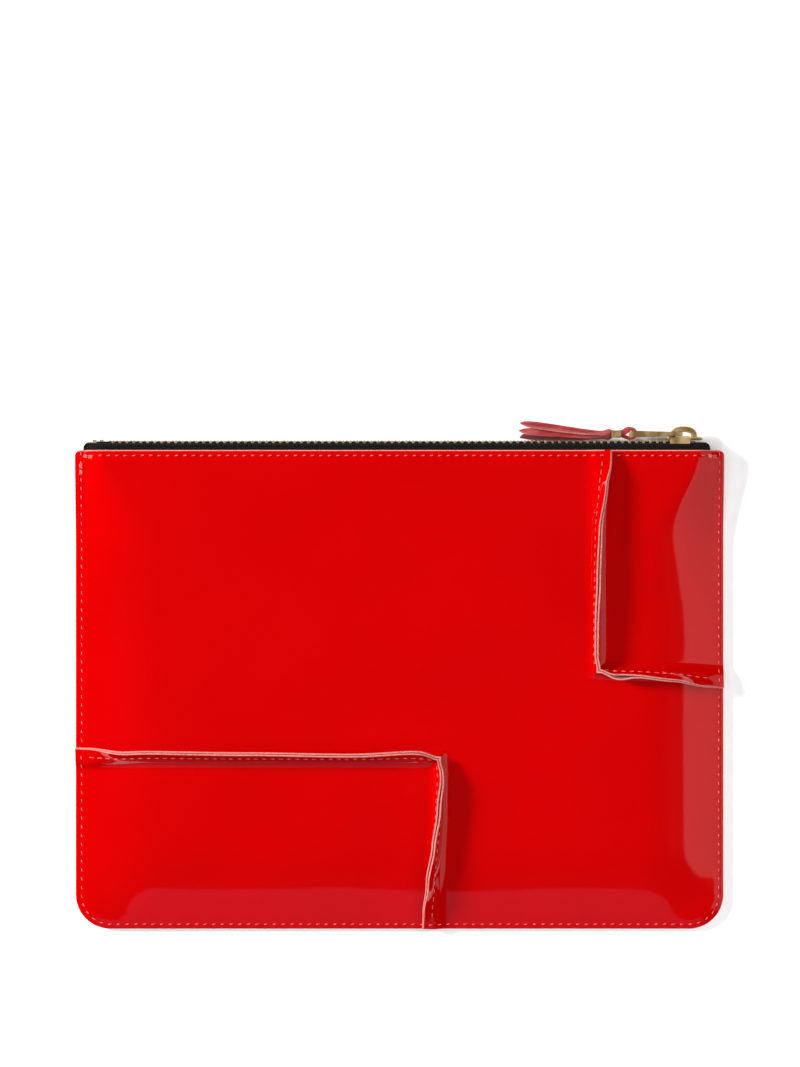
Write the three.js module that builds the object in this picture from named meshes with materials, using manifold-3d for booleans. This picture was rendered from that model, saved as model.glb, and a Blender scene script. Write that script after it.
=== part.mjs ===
// A flat leather pouch with a straight metal zip along its top edge.
//
// The pouch lies on its back: +X is to its right, +Y towards the zip and +Z out of its front wall. The origin is
// the centre of the back panel's outer face. All sizes are in millimetres.
//
// The front wall is made of three panels joined by raised seams: along each seam both leather edges turn up and
// are sewn together. The zip's chain runs along X between the two walls, with its flat side facing +Y.

import * as THREE from 'three';
import { mergeVertices } from 'three/addons/utils/BufferGeometryUtils.js';
import Module from 'manifold-3d';

const wasm = await Module();
wasm.setup();

// ---------------------------------------------------------------- driving dimensions

const WIDTH = 205;
const HEIGHT = 151.4;
const BOTTOM_RADIUS = 10.8;
const TOP_RADIUS = 1.8;

const LEATHER = 1.2;
const LINING = 0.5;
const TAPE = 0.5;
const GAP = 0.3; // clearance between neighbouring pieces

const MARGIN = 2.8; // flat sewn strip along the sides and the bottom
const RIM_WIDTH = 15; // how far the front wall takes to rise from the margin to its full height
const TOP_RIM_WIDTH = 5; // the same at the mouth, where the zip holds the walls apart
const TOP_CORNER_Z = 5.6; // outer face of the front wall where the folded tape ends thicken the side seams
const TOP_CORNER_START = 45; // height along Y where that thickening begins
const LINING_INSET = 8;
const LINING_RADIUS = 12;

const FLANGE = 4.8; // how far a raised seam stands out of the leather
const FLANGE_END = 3.6; // the raised seams stop this far inside the pouch's edge
const FLANGE_LOWEST = 1.4; // height of a flange where it is folded over
const FLANGE_SUNK = 0.6; // how deep a flange's foot reaches into its own panel
const FLANGE_BEND = 0.5; // a flange is upright up to this height and leans above it

const THREAD = 0.5; // width of a line of stitching
const THREAD_HEIGHT = 0.3;
const SIDE_STITCH_INSET = 1.7;
const TOP_STITCH_INSET = 1.8;
const SEAM_STITCH_HEIGHT = 1.6; // above the leather, on the flange's face

const CHAIN_HALF = 2.5; // from the chain's centre plane to each tape
const CHAIN_Z = LEATHER + GAP + TAPE + CHAIN_HALF;
const TAPE_LEFT = -99.8;
const TAPE_RIGHT = 98;
const TAPE_LOW = 66;
const TAPE_TOP = 77.9;

const TOOTH_PITCH = 2.2;
const TOOTH_WIDTH = 0.8;
const TOOTH_COUNT = 83;
const FIRST_TOOTH = -91.4;
const TOOTH_LOW = 76.9;
const TOOTH_TOP = 78.6;
const SPINE_INNER = 1.55; // the teeth of a row stand on a spine, this far from the centre plane
const SPINE_OUTER = CHAIN_HALF - GAP;

const SLIDER_LEFT = 84.6;
const SLIDER_RIGHT = 95.7;
const SLIDER_PLATE = 0.9;
const SLIDER_NARROW = 2.7; // half width at the end where the rows are meshed
const SLIDER_WIDE = 3.3; // half width at the shoulder where the rows part
const SLIDER_INNER_HALF = 2.1; // half width of the inner plate, between the tapes

const CROWN_LEFT = 85.5;
const CROWN_RIGHT = 93.8;
const CROWN_TOP = 83.1;
const CROWN_BAND = 1.5;
const CROWN_HALF = 0.95;

const LINK_LEFT = 72.5;
const LINK_RIGHT = 89.4;
const LINK_Y = 80.8;
const LINK_THICK = 1.0;
const LINK_HALF = 2.2;
const LINK_WIRE = 0.9;
const LINK_CORNER = 1.1;
const LINK_INNER_CORNER = 0.25;

const LOOP_CENTRE_X = 72.4;
const LOOP_RADIUS_X = 2.7;
const LOOP_RADIUS_Y = 1.9;
const LOOP_STRAP = 0.8;
const LOOP_HALF = 1.0;
const NECK_HALF = 0.5;
const FERRULE_LEFT = 66.9;
const FERRULE_RIGHT = 69.8;
const FERRULE_WALL = 0.35;

// ---------------------------------------------------------------- worked out from them

const HALF_W = WIDTH / 2;
const HALF_H = HEIGHT / 2;
const MARGIN_Z = 2 * LEATHER + GAP;
const CROWN_Z = CHAIN_Z + CHAIN_HALF + TAPE + GAP + LEATHER;
const SLIDER_FACE = TOOTH_TOP + GAP;
const SLIDER_TOP = SLIDER_FACE + SLIDER_PLATE;

const RED = { color: 0xd60002, roughness: 0.12, metalness: 0 };
const LINING_LOOK = { color: 0x3a0a0c, roughness: 0.8, metalness: 0 };
const TAPE_LOOK = { color: 0x14100e, roughness: 0.85, metalness: 0 };
const BRASS = { color: 0xb9965f, roughness: 0.3, metalness: 1 };
const THREAD_LOOK = { color: 0xd8473f, roughness: 0.7, metalness: 0 };
const TASSEL_LOOK = { color: 0xaa2d32, roughness: 0.4, metalness: 0 };

const pouch = new THREE.Group();
pouch.name = 'flat_zip_pouch';

// ---------------------------------------------------------------- helpers

const clamp01 = (t) => Math.min(1, Math.max(0, t));
const smooth = (t) => t * t * (3 - 2 * t);
const mix = (a, b, t) => a + (b - a) * t;

/** Share of the full height reached at a distance from a sewn edge. */
function rise(distance, width) {
  return Math.sin((Math.PI / 2) * clamp01((distance - MARGIN) / width));
}

/** Height of the front wall's outer face. */
function frontHeight(x, y) {
  const nearMouth = smooth(clamp01((y - TOP_CORNER_START) / (HALF_H - TOP_CORNER_START)));
  const margin = mix(MARGIN_Z, TOP_CORNER_Z, nearMouth);
  const side = rise(HALF_W - Math.abs(x), mix(RIM_WIDTH, TOP_RIM_WIDTH, nearMouth));
  const bottom = rise(HALF_H + y, RIM_WIDTH);
  return mix(margin, CROWN_Z, side * bottom);
}

/** A closed manifold solid from a closed three.js geometry. */
function solid(geometry) {
  const bare = geometry.clone();
  bare.deleteAttribute('normal');
  bare.deleteAttribute('uv');
  const merged = mergeVertices(bare, 1e-4);
  const mesh = new wasm.Mesh({
    numProp: 3,
    vertProperties: new Float32Array(merged.attributes.position.array),
    triVerts: new Uint32Array(merged.index.array),
  });
  return new wasm.Manifold(mesh);
}

/** The three.js geometry of a manifold solid. */
function geometryOf(manifold) {
  const mesh = manifold.getMesh();
  const geometry = new THREE.BufferGeometry();
  geometry.setAttribute('position', new THREE.BufferAttribute(mesh.vertProperties, 3));
  geometry.setIndex(new THREE.BufferAttribute(mesh.triVerts, 1));
  geometry.computeVertexNormals();
  return geometry;
}

/** Adds one named piece to the pouch. */
function piece(name, geometry, look) {
  const mesh = new THREE.Mesh(geometry, new THREE.MeshStandardMaterial(look));
  mesh.name = name;
  pouch.add(mesh);
}

/** Signed volume of an indexed closed geometry: negative when its faces point in. */
function signedVolume(positions, index) {
  const point = (i) => new THREE.Vector3().fromArray(positions, 3 * i);
  let total = 0;
  for (let i = 0; i < index.length; i += 3) {
    total += point(index[i]).dot(point(index[i + 1]).cross(point(index[i + 2])));
  }
  return total / 6;
}

/** A geometry whose faces point out, whichever way round they were listed. */
function facingOut(positions, index) {
  const inwards = signedVolume(positions, index) < 0;
  const geometry = new THREE.BufferGeometry();
  geometry.setAttribute('position', new THREE.Float32BufferAttribute(positions, 3));
  geometry.setIndex(inwards ? index.slice().reverse() : index);
  return geometry;
}

/** A closed sheet on a grid of x and y lines, between two height functions. */
function sheet(xs, ys, top, underside) {
  const columns = xs.length;
  const layer = columns * ys.length;
  const positions = [];
  for (const height of [top, underside]) {
    for (const y of ys) {
      for (const x of xs) {
        positions.push(x, y, height(x, y));
      }
    }
  }
  const index = [];
  const quad = (a, b, c, d) => index.push(a, b, c, a, c, d);
  const at = (i, j) => j * columns + i;
  for (let j = 0; j + 1 < ys.length; j += 1) {
    for (let i = 0; i + 1 < columns; i += 1) {
      quad(at(i, j), at(i + 1, j), at(i + 1, j + 1), at(i, j + 1));
      quad(layer + at(i, j), layer + at(i, j + 1), layer + at(i + 1, j + 1), layer + at(i + 1, j));
    }
  }
  const wall = (a, b) => quad(layer + a, layer + b, b, a);
  for (let i = 0; i + 1 < columns; i += 1) {
    wall(at(i, 0), at(i + 1, 0));
    wall(at(i + 1, ys.length - 1), at(i, ys.length - 1));
  }
  for (let j = 0; j + 1 < ys.length; j += 1) {
    wall(at(columns - 1, j), at(columns - 1, j + 1));
    wall(at(0, j + 1), at(0, j));
  }
  return facingOut(positions, index);
}

/** A closed body through rings of an even count: each ring goes out along one side and back along the other. */
function loft(rings) {
  const count = rings[0].length;
  const positions = rings.flat(2);
  const index = [];
  for (let r = 0; r + 1 < rings.length; r += 1) {
    for (let i = 0; i < count; i += 1) {
      const a = r * count + i;
      const b = r * count + ((i + 1) % count);
      index.push(a, b, b + count, a, b + count, a + count);
    }
  }
  const last = (rings.length - 1) * count;
  for (let k = 0; k + 1 < count / 2; k += 1) {
    const [a, b, c, d] = [(count - k) % count, k + 1, k + 2, count - k - 1];
    index.push(a, c, b, a, d, c);
    index.push(last + a, last + b, last + c, last + a, last + c, last + d);
  }
  return facingOut(positions, index);
}

/** An upright prism of a shape drawn in X and Y. */
function prism(shape, low, high) {
  const settings = { depth: high - low, bevelEnabled: false, curveSegments: 8 };
  return new THREE.ExtrudeGeometry(shape, settings).translate(0, 0, low);
}

/** A plate whose shape is drawn in X and Z and whose thickness runs along Y. */
function plateAcross(shape, low, high) {
  const settings = { depth: high - low, bevelEnabled: false, curveSegments: 8 };
  const geometry = new THREE.ExtrudeGeometry(shape, settings);
  return geometry.rotateX(Math.PI / 2).translate(0, high, 0);
}

/** A box between two corners. */
function box(low, high) {
  const size = high.map((value, i) => value - low[i]);
  const middle = high.map((value, i) => (value + low[i]) / 2);
  return new THREE.BoxGeometry(...size).translate(...middle);
}

/** The pouch's outline, drawn in from its edge by an inset. */
function outline(inset, bottomRadius, topRadius, top = HALF_H - inset) {
  const right = HALF_W - inset;
  const bottom = -HALF_H + inset;
  const shape = new THREE.Shape();
  shape.moveTo(-right + bottomRadius, bottom);
  shape.lineTo(right - bottomRadius, bottom);
  shape.absarc(right - bottomRadius, bottom + bottomRadius, bottomRadius, -Math.PI / 2, 0);
  shape.lineTo(right, top - topRadius);
  shape.absarc(right - topRadius, top - topRadius, topRadius, 0, Math.PI / 2);
  shape.lineTo(-right + topRadius, top);
  shape.absarc(-right + topRadius, top - topRadius, topRadius, Math.PI / 2, Math.PI);
  shape.lineTo(-right, bottom + bottomRadius);
  shape.absarc(-right + bottomRadius, bottom + bottomRadius, bottomRadius, Math.PI, 1.5 * Math.PI);
  return shape;
}

/** Grid lines that are close together in the rims and far apart between them. */
const RIM_STEPS = [0, MARGIN, MARGIN + 1.7, MARGIN + 3.4, MARGIN + 5.5, MARGIN + 8.5, MARGIN + RIM_WIDTH];
const gridX = [...RIM_STEPS.map((d) => d - HALF_W), 0, ...RIM_STEPS.map((d) => HALF_W - d).reverse()];
const MOUTH_LINES = [TOP_CORNER_START, 53, 61, 68, HALF_H];
const gridY = [...RIM_STEPS.map((d) => d - HALF_H), ...MOUTH_LINES];

// ---------------------------------------------------------------- raised seams

/** Distances from a leg's outer end: close together where the wall rises from its margin. */
function legDistances(length) {
  const inner = [0, 0.2, 0.4, 0.6, 0.8, 1].map((t) => mix(RIM_WIDTH, length, t));
  return [0, 1.5, 3.2, 5.5, 8.5, ...inner];
}

/** One straight leg of a seam, from the pouch's edge to just before the corner. */
function legStations(outer, corner, normal, lean) {
  const length = Math.hypot(corner[0] - outer[0], corner[1] - outer[1]);
  return legDistances(length).slice(0, -1).map((distance) => {
    const t = distance / length;
    const amount = t < 0.5 ? mix(lean[0], lean[1], 2 * t) : mix(lean[1], lean[2], 2 * t - 1);
    return {
      x: mix(outer[0], corner[0], t),
      y: mix(outer[1], corner[1], t),
      normal,
      lean: normal.map((v) => v * amount),
      amount,
    };
  });
}

/**
 * Stations along an L-shaped seam. outward points from the corner panel to the main panel on each leg. The lean
 * is how far the flange's top stands off its foot, along outward: at the edge, half way and at the corner.
 */
function seamStations({ start, corner, end, outward, lean }) {
  const bend = {
    x: corner[0],
    y: corner[1],
    normal: [outward[0][0] + outward[1][0], outward[0][1] + outward[1][1]],
    lean: [0, 1].map((k) => outward[0][k] * lean[0][2] + outward[1][k] * lean[1][2]),
    amount: lean[0][2],
  };
  return [
    ...legStations(start, corner, outward[0], lean[0]),
    bend,
    ...legStations(end, corner, outward[1], lean[1]).reverse(),
  ];
}

/** Height of the flange above the leather at a station. */
function flangeRise(station) {
  return Math.max(FLANGE_LOWEST, Math.sqrt(Math.max(0, FLANGE ** 2 - station.amount ** 2)));
}

/**
 * A strip along a seam. Offsets are measured from the seam's line along outward, and levels from the leather. The
 * strip is upright up to FLANGE_BEND and leans above it.
 */
function seamStrip(stations, nearOffset, farOffset, levelsOf) {
  const rings = stations.map((station) => {
    const ground = frontHeight(station.x, station.y);
    const leaning = flangeRise(station) - FLANGE_BEND;
    const point = (offset, level) => {
      const share = clamp01((level - FLANGE_BEND) / leaning);
      return [
        station.x + station.normal[0] * offset + station.lean[0] * share,
        station.y + station.normal[1] * offset + station.lean[1] * share,
        ground + level,
      ];
    };
    const levels = levelsOf(station);
    const upTheFar = levels.map((level) => point(farOffset, level));
    const downTheNear = levels.map((level) => point(nearOffset, level)).reverse();
    return [downTheNear.at(-1), ...upTheFar, ...downTheNear.slice(0, -1)];
  });
  return loft(rings);
}

const LOWER_LEFT = {
  start: [-HALF_W + FLANGE_END, -21.2],
  corner: [12.5, -21.2],
  end: [12.5, -HALF_H + FLANGE_END],
  outward: [[0, 1], [1, 0]],
  lean: [[2.6, 1.3, 1.6], [-3.4, -0.6, 1.2]],
};
const UPPER_RIGHT = {
  start: [62.5, HALF_H - FLANGE_END],
  corner: [62.5, 6.1],
  end: [HALF_W - FLANGE_END, 6.1],
  outward: [[-1, 0], [0, -1]],
  lean: [[-3.4, -0.3, 0.6], [3.4, 1.6, 1.3]],
};

/** One leather flange along a seam: side is 1 for the main panel's and -1 for the corner panel's. */
function flange(seam, side) {
  const near = side * (GAP / 2);
  const far = side * (GAP / 2 + LEATHER);
  return seamStrip(seamStations(seam), near, far, (station) => [-FLANGE_SUNK, FLANGE_BEND, flangeRise(station)]);
}

/** The line of stitching on the visible face of a raised seam. */
function seamThread(seam, side) {
  const near = side * (GAP / 2 + LEATHER + GAP);
  const far = side * (GAP / 2 + LEATHER + GAP + THREAD_HEIGHT);
  return seamStrip(seamStations(seam), near, far, (station) => {
    const low = Math.min(SEAM_STITCH_HEIGHT, flangeRise(station) - THREAD);
    return [low, low + THREAD];
  });
}

// ---------------------------------------------------------------- walls

const leatherTop = frontHeight;
const leatherUnder = (x, y) => frontHeight(x, y) - LEATHER;
const wholeFront = solid(sheet(gridX, gridY, leatherTop, leatherUnder))
  .intersect(solid(prism(outline(0, BOTTOM_RADIUS, TOP_RADIUS), 0, CROWN_Z + 1)));

/** A block over one corner of the pouch, grown by half a gap when it is to be cut away. */
function cornerBlock(seam, growth) {
  const [x, y] = seam.corner;
  const towardX = -seam.outward[0][0] - seam.outward[1][0];
  const towardY = -seam.outward[0][1] - seam.outward[1][1];
  const far = [x + towardX * WIDTH, y + towardY * HEIGHT];
  const near = [x - towardX * growth, y - towardY * growth];
  const low = [Math.min(far[0], near[0]), Math.min(far[1], near[1]), -1];
  const high = [Math.max(far[0], near[0]), Math.max(far[1], near[1]), CROWN_Z + 1];
  return solid(box(low, high));
}

function addFrontPanels() {
  const main = wholeFront
    .subtract(cornerBlock(LOWER_LEFT, GAP / 2))
    .subtract(cornerBlock(UPPER_RIGHT, GAP / 2))
    .add(solid(flange(LOWER_LEFT, 1)))
    .add(solid(flange(UPPER_RIGHT, 1)));
  const lowerLeft = wholeFront
    .intersect(cornerBlock(LOWER_LEFT, -GAP / 2))
    .add(solid(flange(LOWER_LEFT, -1)));
  const upperRight = wholeFront
    .intersect(cornerBlock(UPPER_RIGHT, -GAP / 2))
    .add(solid(flange(UPPER_RIGHT, -1)));
  piece('front_main_panel', geometryOf(main), RED);
  piece('lower_left_panel', geometryOf(lowerLeft), RED);
  piece('upper_right_panel', geometryOf(upperRight), RED);
  piece('lower_left_seam_thread', seamThread(LOWER_LEFT, -1), THREAD_LOOK);
  piece('upper_right_seam_thread', seamThread(UPPER_RIGHT, 1), THREAD_LOOK);
}

/** A U-shaped band down both sides and along the bottom, where the walls are sewn together. */
function perimeterBand(width, low, high) {
  const outer = outline(SIDE_STITCH_INSET - width / 2, BOTTOM_RADIUS - SIDE_STITCH_INSET, 0.2, HALF_H - 0.6);
  const inner = outline(SIDE_STITCH_INSET + width / 2, BOTTOM_RADIUS - SIDE_STITCH_INSET, 0.2, HALF_H + 1);
  return solid(prism(outer, low, high)).subtract(solid(prism(inner, low - 1, high + 1)));
}

/** A straight band along the mouth. */
function mouthBand(width, low, high) {
  const reach = HALF_W - SIDE_STITCH_INSET - THREAD - GAP;
  const y = HALF_H - TOP_STITCH_INSET;
  return solid(box([-reach, y - width / 2, low], [reach, y + width / 2, high]));
}

function addBackWall() {
  const groove = THREAD_HEIGHT + 2 * GAP;
  const plate = solid(prism(outline(0, BOTTOM_RADIUS, TOP_RADIUS), 0, LEATHER))
    .subtract(perimeterBand(THREAD + 2 * GAP, -1, groove))
    .subtract(mouthBand(THREAD + 2 * GAP, -1, groove));
  piece('back_panel', geometryOf(plate), RED);
  const threadLow = GAP / 2;
  const threadHigh = threadLow + THREAD_HEIGHT;
  piece('perimeter_thread_back', geometryOf(perimeterBand(THREAD, threadLow, threadHigh)), THREAD_LOOK);
  piece('mouth_thread_back', geometryOf(mouthBand(THREAD, threadLow, threadHigh)), THREAD_LOOK);
}

function addLinings() {
  const shape = outline(LINING_INSET, LINING_RADIUS, 1, TAPE_LOW - GAP);
  const backLow = LEATHER + GAP;
  piece('back_lining', prism(shape, backLow, backLow + LINING), LINING_LOOK);
  const top = (x, y) => frontHeight(x, y) - LEATHER - GAP;
  const under = (x, y) => top(x, y) - LINING;
  const front = solid(sheet(gridX, gridY, top, under)).intersect(solid(prism(shape, 0, CROWN_Z)));
  piece('front_lining', geometryOf(front), LINING_LOOK);
}

function addFrontThreads() {
  const low = (x, y) => frontHeight(x, y) + GAP;
  const high = (x, y) => low(x, y) + THREAD_HEIGHT;
  const layer = solid(sheet(gridX, gridY, high, low));
  const perimeter = layer.intersect(perimeterBand(THREAD, 0, CROWN_Z + 2));
  const mouth = layer.intersect(mouthBand(THREAD, 0, CROWN_Z + 2));
  piece('perimeter_thread_front', geometryOf(perimeter), THREAD_LOOK);
  piece('mouth_thread_front', geometryOf(mouth), THREAD_LOOK);
}

// ---------------------------------------------------------------- zip

function addTapes() {
  const backLow = LEATHER + GAP;
  piece('zip_tape_back', box([TAPE_LEFT, TAPE_LOW, backLow], [TAPE_RIGHT, TAPE_TOP, backLow + TAPE]), TAPE_LOOK);
  const onMouth = (y) => Math.min(y, HALF_H);
  const top = (x, y) => frontHeight(x, onMouth(y)) - LEATHER - GAP;
  const under = (x, y) => top(x, y) - TAPE;
  const inside = gridX.filter((x) => x > TAPE_LEFT && x < TAPE_RIGHT);
  const xs = [TAPE_LEFT, ...inside, TAPE_RIGHT];
  const ys = [TAPE_LOW, 68, HALF_H, TAPE_TOP];
  piece('zip_tape_front', sheet(xs, ys, top, under), TAPE_LOOK);
}

/** One row of teeth on its spine: side is 1 for the front row and -1 for the back row, half a pitch apart. */
function toothRow(side) {
  const first = FIRST_TOOTH + (side > 0 ? TOOTH_PITCH / 2 : 0);
  const left = FIRST_TOOTH - TOOTH_WIDTH;
  const right = FIRST_TOOTH + TOOTH_COUNT * TOOTH_PITCH;
  const tip = -(SPINE_INNER - GAP);
  const shape = new THREE.Shape();
  const z = (fromCentre) => CHAIN_Z + side * fromCentre;
  shape.moveTo(left, z(SPINE_OUTER));
  shape.lineTo(left, z(SPINE_INNER));
  for (let i = 0; i < TOOTH_COUNT; i += 1) {
    const centre = first + i * TOOTH_PITCH;
    shape.lineTo(centre - TOOTH_WIDTH / 2, z(SPINE_INNER));
    shape.lineTo(centre - TOOTH_WIDTH / 2, z(tip));
    shape.lineTo(centre + TOOTH_WIDTH / 2, z(tip));
    shape.lineTo(centre + TOOTH_WIDTH / 2, z(SPINE_INNER));
  }
  shape.lineTo(right, z(SPINE_INNER));
  shape.lineTo(right, z(SPINE_OUTER));
  return plateAcross(shape, TOOTH_LOW, TOOTH_TOP);
}

function addTeethAndStops() {
  piece('zip_teeth_front', toothRow(1), BRASS);
  piece('zip_teeth_back', toothRow(-1), BRASS);
  const stop = new THREE.Shape([
    [-96.7, TOOTH_LOW], [-93.4, TOOTH_LOW], [-93.4, 79], [-94.5, 79], [-94.5, 78], [-95.6, 78], [-95.6, 79],
    [-96.7, 79],
  ].map(([x, y]) => new THREE.Vector2(x, y)));
  piece('zip_bottom_stop', prism(stop, CHAIN_Z - 1.8, CHAIN_Z + 1.8), BRASS);
  const left = FIRST_TOOTH + TOOTH_COUNT * TOOTH_PITCH + GAP;
  const right = left + 1.6;
  for (const [name, side] of [['zip_top_stop_front', 1], ['zip_top_stop_back', -1]]) {
    const zs = [CHAIN_Z + side * GAP, CHAIN_Z + side * SPINE_OUTER].sort((a, b) => a - b);
    piece(name, box([left, TOOTH_LOW, zs[0]], [right, TOOTH_TOP, zs[1]]), BRASS);
  }
}

// ---------------------------------------------------------------- slider and pull

/** The slider's plate: narrow where the rows are meshed, wide at the shoulder, with a blunt nose. */
function sliderShape(narrow, wide) {
  const z = CHAIN_Z;
  const shoulder = SLIDER_LEFT + 0.62 * (SLIDER_RIGHT - SLIDER_LEFT);
  const shape = new THREE.Shape();
  shape.moveTo(SLIDER_LEFT, z - narrow);
  shape.lineTo(shoulder - 2, z - narrow);
  shape.quadraticCurveTo(shoulder, z - wide, shoulder + 1.5, z - wide);
  shape.quadraticCurveTo(SLIDER_RIGHT, z - wide, SLIDER_RIGHT, z);
  shape.quadraticCurveTo(SLIDER_RIGHT, z + wide, shoulder + 1.5, z + wide);
  shape.quadraticCurveTo(shoulder, z + wide, shoulder - 2, z + narrow);
  shape.lineTo(SLIDER_LEFT, z + narrow);
  return shape;
}

function addSlider() {
  piece('slider_top_plate', plateAcross(sliderShape(SLIDER_NARROW, SLIDER_WIDE), SLIDER_FACE, SLIDER_TOP), BRASS);
  const innerTop = TOOTH_LOW - GAP;
  const inner = sliderShape(SLIDER_INNER_HALF - 0.3, SLIDER_INNER_HALF);
  piece('slider_bottom_plate', plateAcross(inner, innerTop - SLIDER_PLATE, innerTop), BRASS);

  const foot = SLIDER_TOP + GAP;
  const middle = (CROWN_LEFT + CROWN_RIGHT) / 2;
  const reach = (CROWN_RIGHT - CROWN_LEFT) / 2;
  const arch = new THREE.Shape();
  arch.moveTo(CROWN_RIGHT, foot);
  arch.absellipse(middle, foot, reach, CROWN_TOP - foot, 0, Math.PI, false, 0);
  arch.lineTo(CROWN_LEFT + CROWN_BAND, foot);
  arch.absellipse(middle, foot, reach - CROWN_BAND, CROWN_TOP - CROWN_BAND - foot, Math.PI, 0, true, 0);
  piece('slider_crown', prism(arch, CHAIN_Z - CROWN_HALF, CHAIN_Z + CROWN_HALF), BRASS);
}

/** A long outline in X and Z with straight ends and rounded corners. */
function linkOutline(left, right, half, radius) {
  const low = CHAIN_Z - half;
  const high = CHAIN_Z + half;
  const shape = new THREE.Shape();
  shape.moveTo(left + radius, low);
  shape.lineTo(right - radius, low);
  shape.absarc(right - radius, low + radius, radius, -Math.PI / 2, 0);
  shape.lineTo(right, high - radius);
  shape.absarc(right - radius, high - radius, radius, 0, Math.PI / 2);
  shape.lineTo(left + radius, high);
  shape.absarc(left + radius, high - radius, radius, Math.PI / 2, Math.PI);
  shape.lineTo(left, low + radius);
  shape.absarc(left + radius, low + radius, radius, Math.PI, 1.5 * Math.PI);
  return shape;
}

/** The link's end bars are straight where they turn in the crown and in the tassel's loop. */
function addPullLink() {
  const ring = linkOutline(LINK_LEFT, LINK_RIGHT, LINK_HALF, LINK_CORNER);
  const innerLeft = LINK_LEFT + LINK_WIRE;
  const innerRight = LINK_RIGHT - LINK_WIRE;
  ring.holes.push(linkOutline(innerLeft, innerRight, LINK_HALF - LINK_WIRE, LINK_INNER_CORNER));
  piece('pull_link', plateAcross(ring, LINK_Y - LINK_THICK / 2, LINK_Y + LINK_THICK / 2), BRASS);
}

/** A flat pointed strip from the ferrule to its tip, at its own level in the tassel. */
function strand({ level, tipX, tipY, tipZ, width }) {
  const rootX = FERRULE_LEFT - GAP;
  const thick = 0.75;
  const rings = [0, 0.2, 0.45, 0.7, 0.88, 1].map((t) => {
    const x = mix(rootX, tipX, t);
    const y = mix(LINK_Y, tipY, smooth(t) * 0.4 + t * 0.6);
    const z = mix(CHAIN_Z + level, tipZ, t);
    const half = t < 1 ? mix(0.7, width / 2, smooth(clamp01(t / 0.6))) * (t > 0.85 ? 0.6 : 1) : 0.25;
    return [
      [x, y - half, z - thick / 2],
      [x, y + half, z - thick / 2],
      [x, y + half, z + thick / 2],
      [x, y - half, z + thick / 2],
    ];
  });
  return loft(rings);
}

function addTassel() {
  const low = CHAIN_Z - LOOP_HALF;
  const high = CHAIN_Z + LOOP_HALF;
  const ring = new THREE.Shape();
  ring.absellipse(LOOP_CENTRE_X, LINK_Y, LOOP_RADIUS_X, LOOP_RADIUS_Y, 0, 2 * Math.PI, false, 0);
  const hole = new THREE.Shape();
  hole.absellipse(
    LOOP_CENTRE_X, LINK_Y, LOOP_RADIUS_X - LOOP_STRAP, LOOP_RADIUS_Y - LOOP_STRAP, 0, 2 * Math.PI, false, 0,
  );
  ring.holes.push(hole);
  const neckRight = LOOP_CENTRE_X - LOOP_RADIUS_X + LOOP_STRAP / 2;
  const neck = box([FERRULE_LEFT, LINK_Y - NECK_HALF, low], [neckRight, LINK_Y + NECK_HALF, high]);
  piece('tassel_loop', geometryOf(solid(prism(ring, low, high)).add(solid(neck))), TASSEL_LOOK);

  const innerY = NECK_HALF + GAP;
  const innerZ = LOOP_HALF + GAP;
  const outer = box(
    [FERRULE_LEFT, LINK_Y - innerY - FERRULE_WALL, CHAIN_Z - innerZ - FERRULE_WALL],
    [FERRULE_RIGHT, LINK_Y + innerY + FERRULE_WALL, CHAIN_Z + innerZ + FERRULE_WALL],
  );
  const inner = box(
    [FERRULE_LEFT - 1, LINK_Y - innerY, CHAIN_Z - innerZ],
    [FERRULE_RIGHT + 1, LINK_Y + innerY, CHAIN_Z + innerZ],
  );
  piece('tassel_ferrule', geometryOf(solid(outer).subtract(solid(inner))), BRASS);

  const strands = [
    { level: 1.1, tipX: 38.2, tipY: 84.2, tipZ: 3.4, width: 3 },
    { level: 0, tipX: 37.8, tipY: 81.9, tipZ: 2.2, width: 3 },
    { level: -1.1, tipX: 38.6, tipY: 80.6, tipZ: 1, width: 3 },
  ];
  strands.forEach((settings, i) => piece(`tassel_strand_${i + 1}`, strand(settings), TASSEL_LOOK));
}

addBackWall();
addLinings();
addFrontPanels();
addFrontThreads();
addTapes();
addTeethAndStops();
addSlider();
addPullLink();
addTassel();

export default pouch;
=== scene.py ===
"""A flat zip pouch in red patent leather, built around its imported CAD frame.

Lengths are in millimetres up to the point where a mesh is made, and every mesh is in metres. The pouch lies
on its back: +X is to its right, +Y towards the zip and +Z out of the front wall.
"""
import math

import bpy
import numpy as np
from mathutils import Matrix, Vector
from mathutils.bvhtree import BVHTree


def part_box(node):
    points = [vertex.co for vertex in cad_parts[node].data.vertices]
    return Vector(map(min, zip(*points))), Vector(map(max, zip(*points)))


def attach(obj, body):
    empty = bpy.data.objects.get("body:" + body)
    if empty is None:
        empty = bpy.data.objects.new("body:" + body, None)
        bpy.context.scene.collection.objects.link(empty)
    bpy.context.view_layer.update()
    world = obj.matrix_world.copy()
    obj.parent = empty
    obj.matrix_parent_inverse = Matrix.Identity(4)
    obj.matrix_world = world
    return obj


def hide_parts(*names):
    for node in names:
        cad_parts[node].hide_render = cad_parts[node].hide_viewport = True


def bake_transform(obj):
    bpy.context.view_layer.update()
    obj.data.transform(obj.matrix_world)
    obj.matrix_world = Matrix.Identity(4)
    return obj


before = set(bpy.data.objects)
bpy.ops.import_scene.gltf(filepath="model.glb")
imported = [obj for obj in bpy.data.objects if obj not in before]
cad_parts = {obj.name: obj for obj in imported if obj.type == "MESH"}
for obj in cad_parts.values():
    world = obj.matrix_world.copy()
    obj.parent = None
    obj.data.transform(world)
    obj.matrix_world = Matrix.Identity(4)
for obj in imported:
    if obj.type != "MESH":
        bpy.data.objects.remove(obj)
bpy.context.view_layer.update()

MM = 0.001


# -------- sizes

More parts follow.
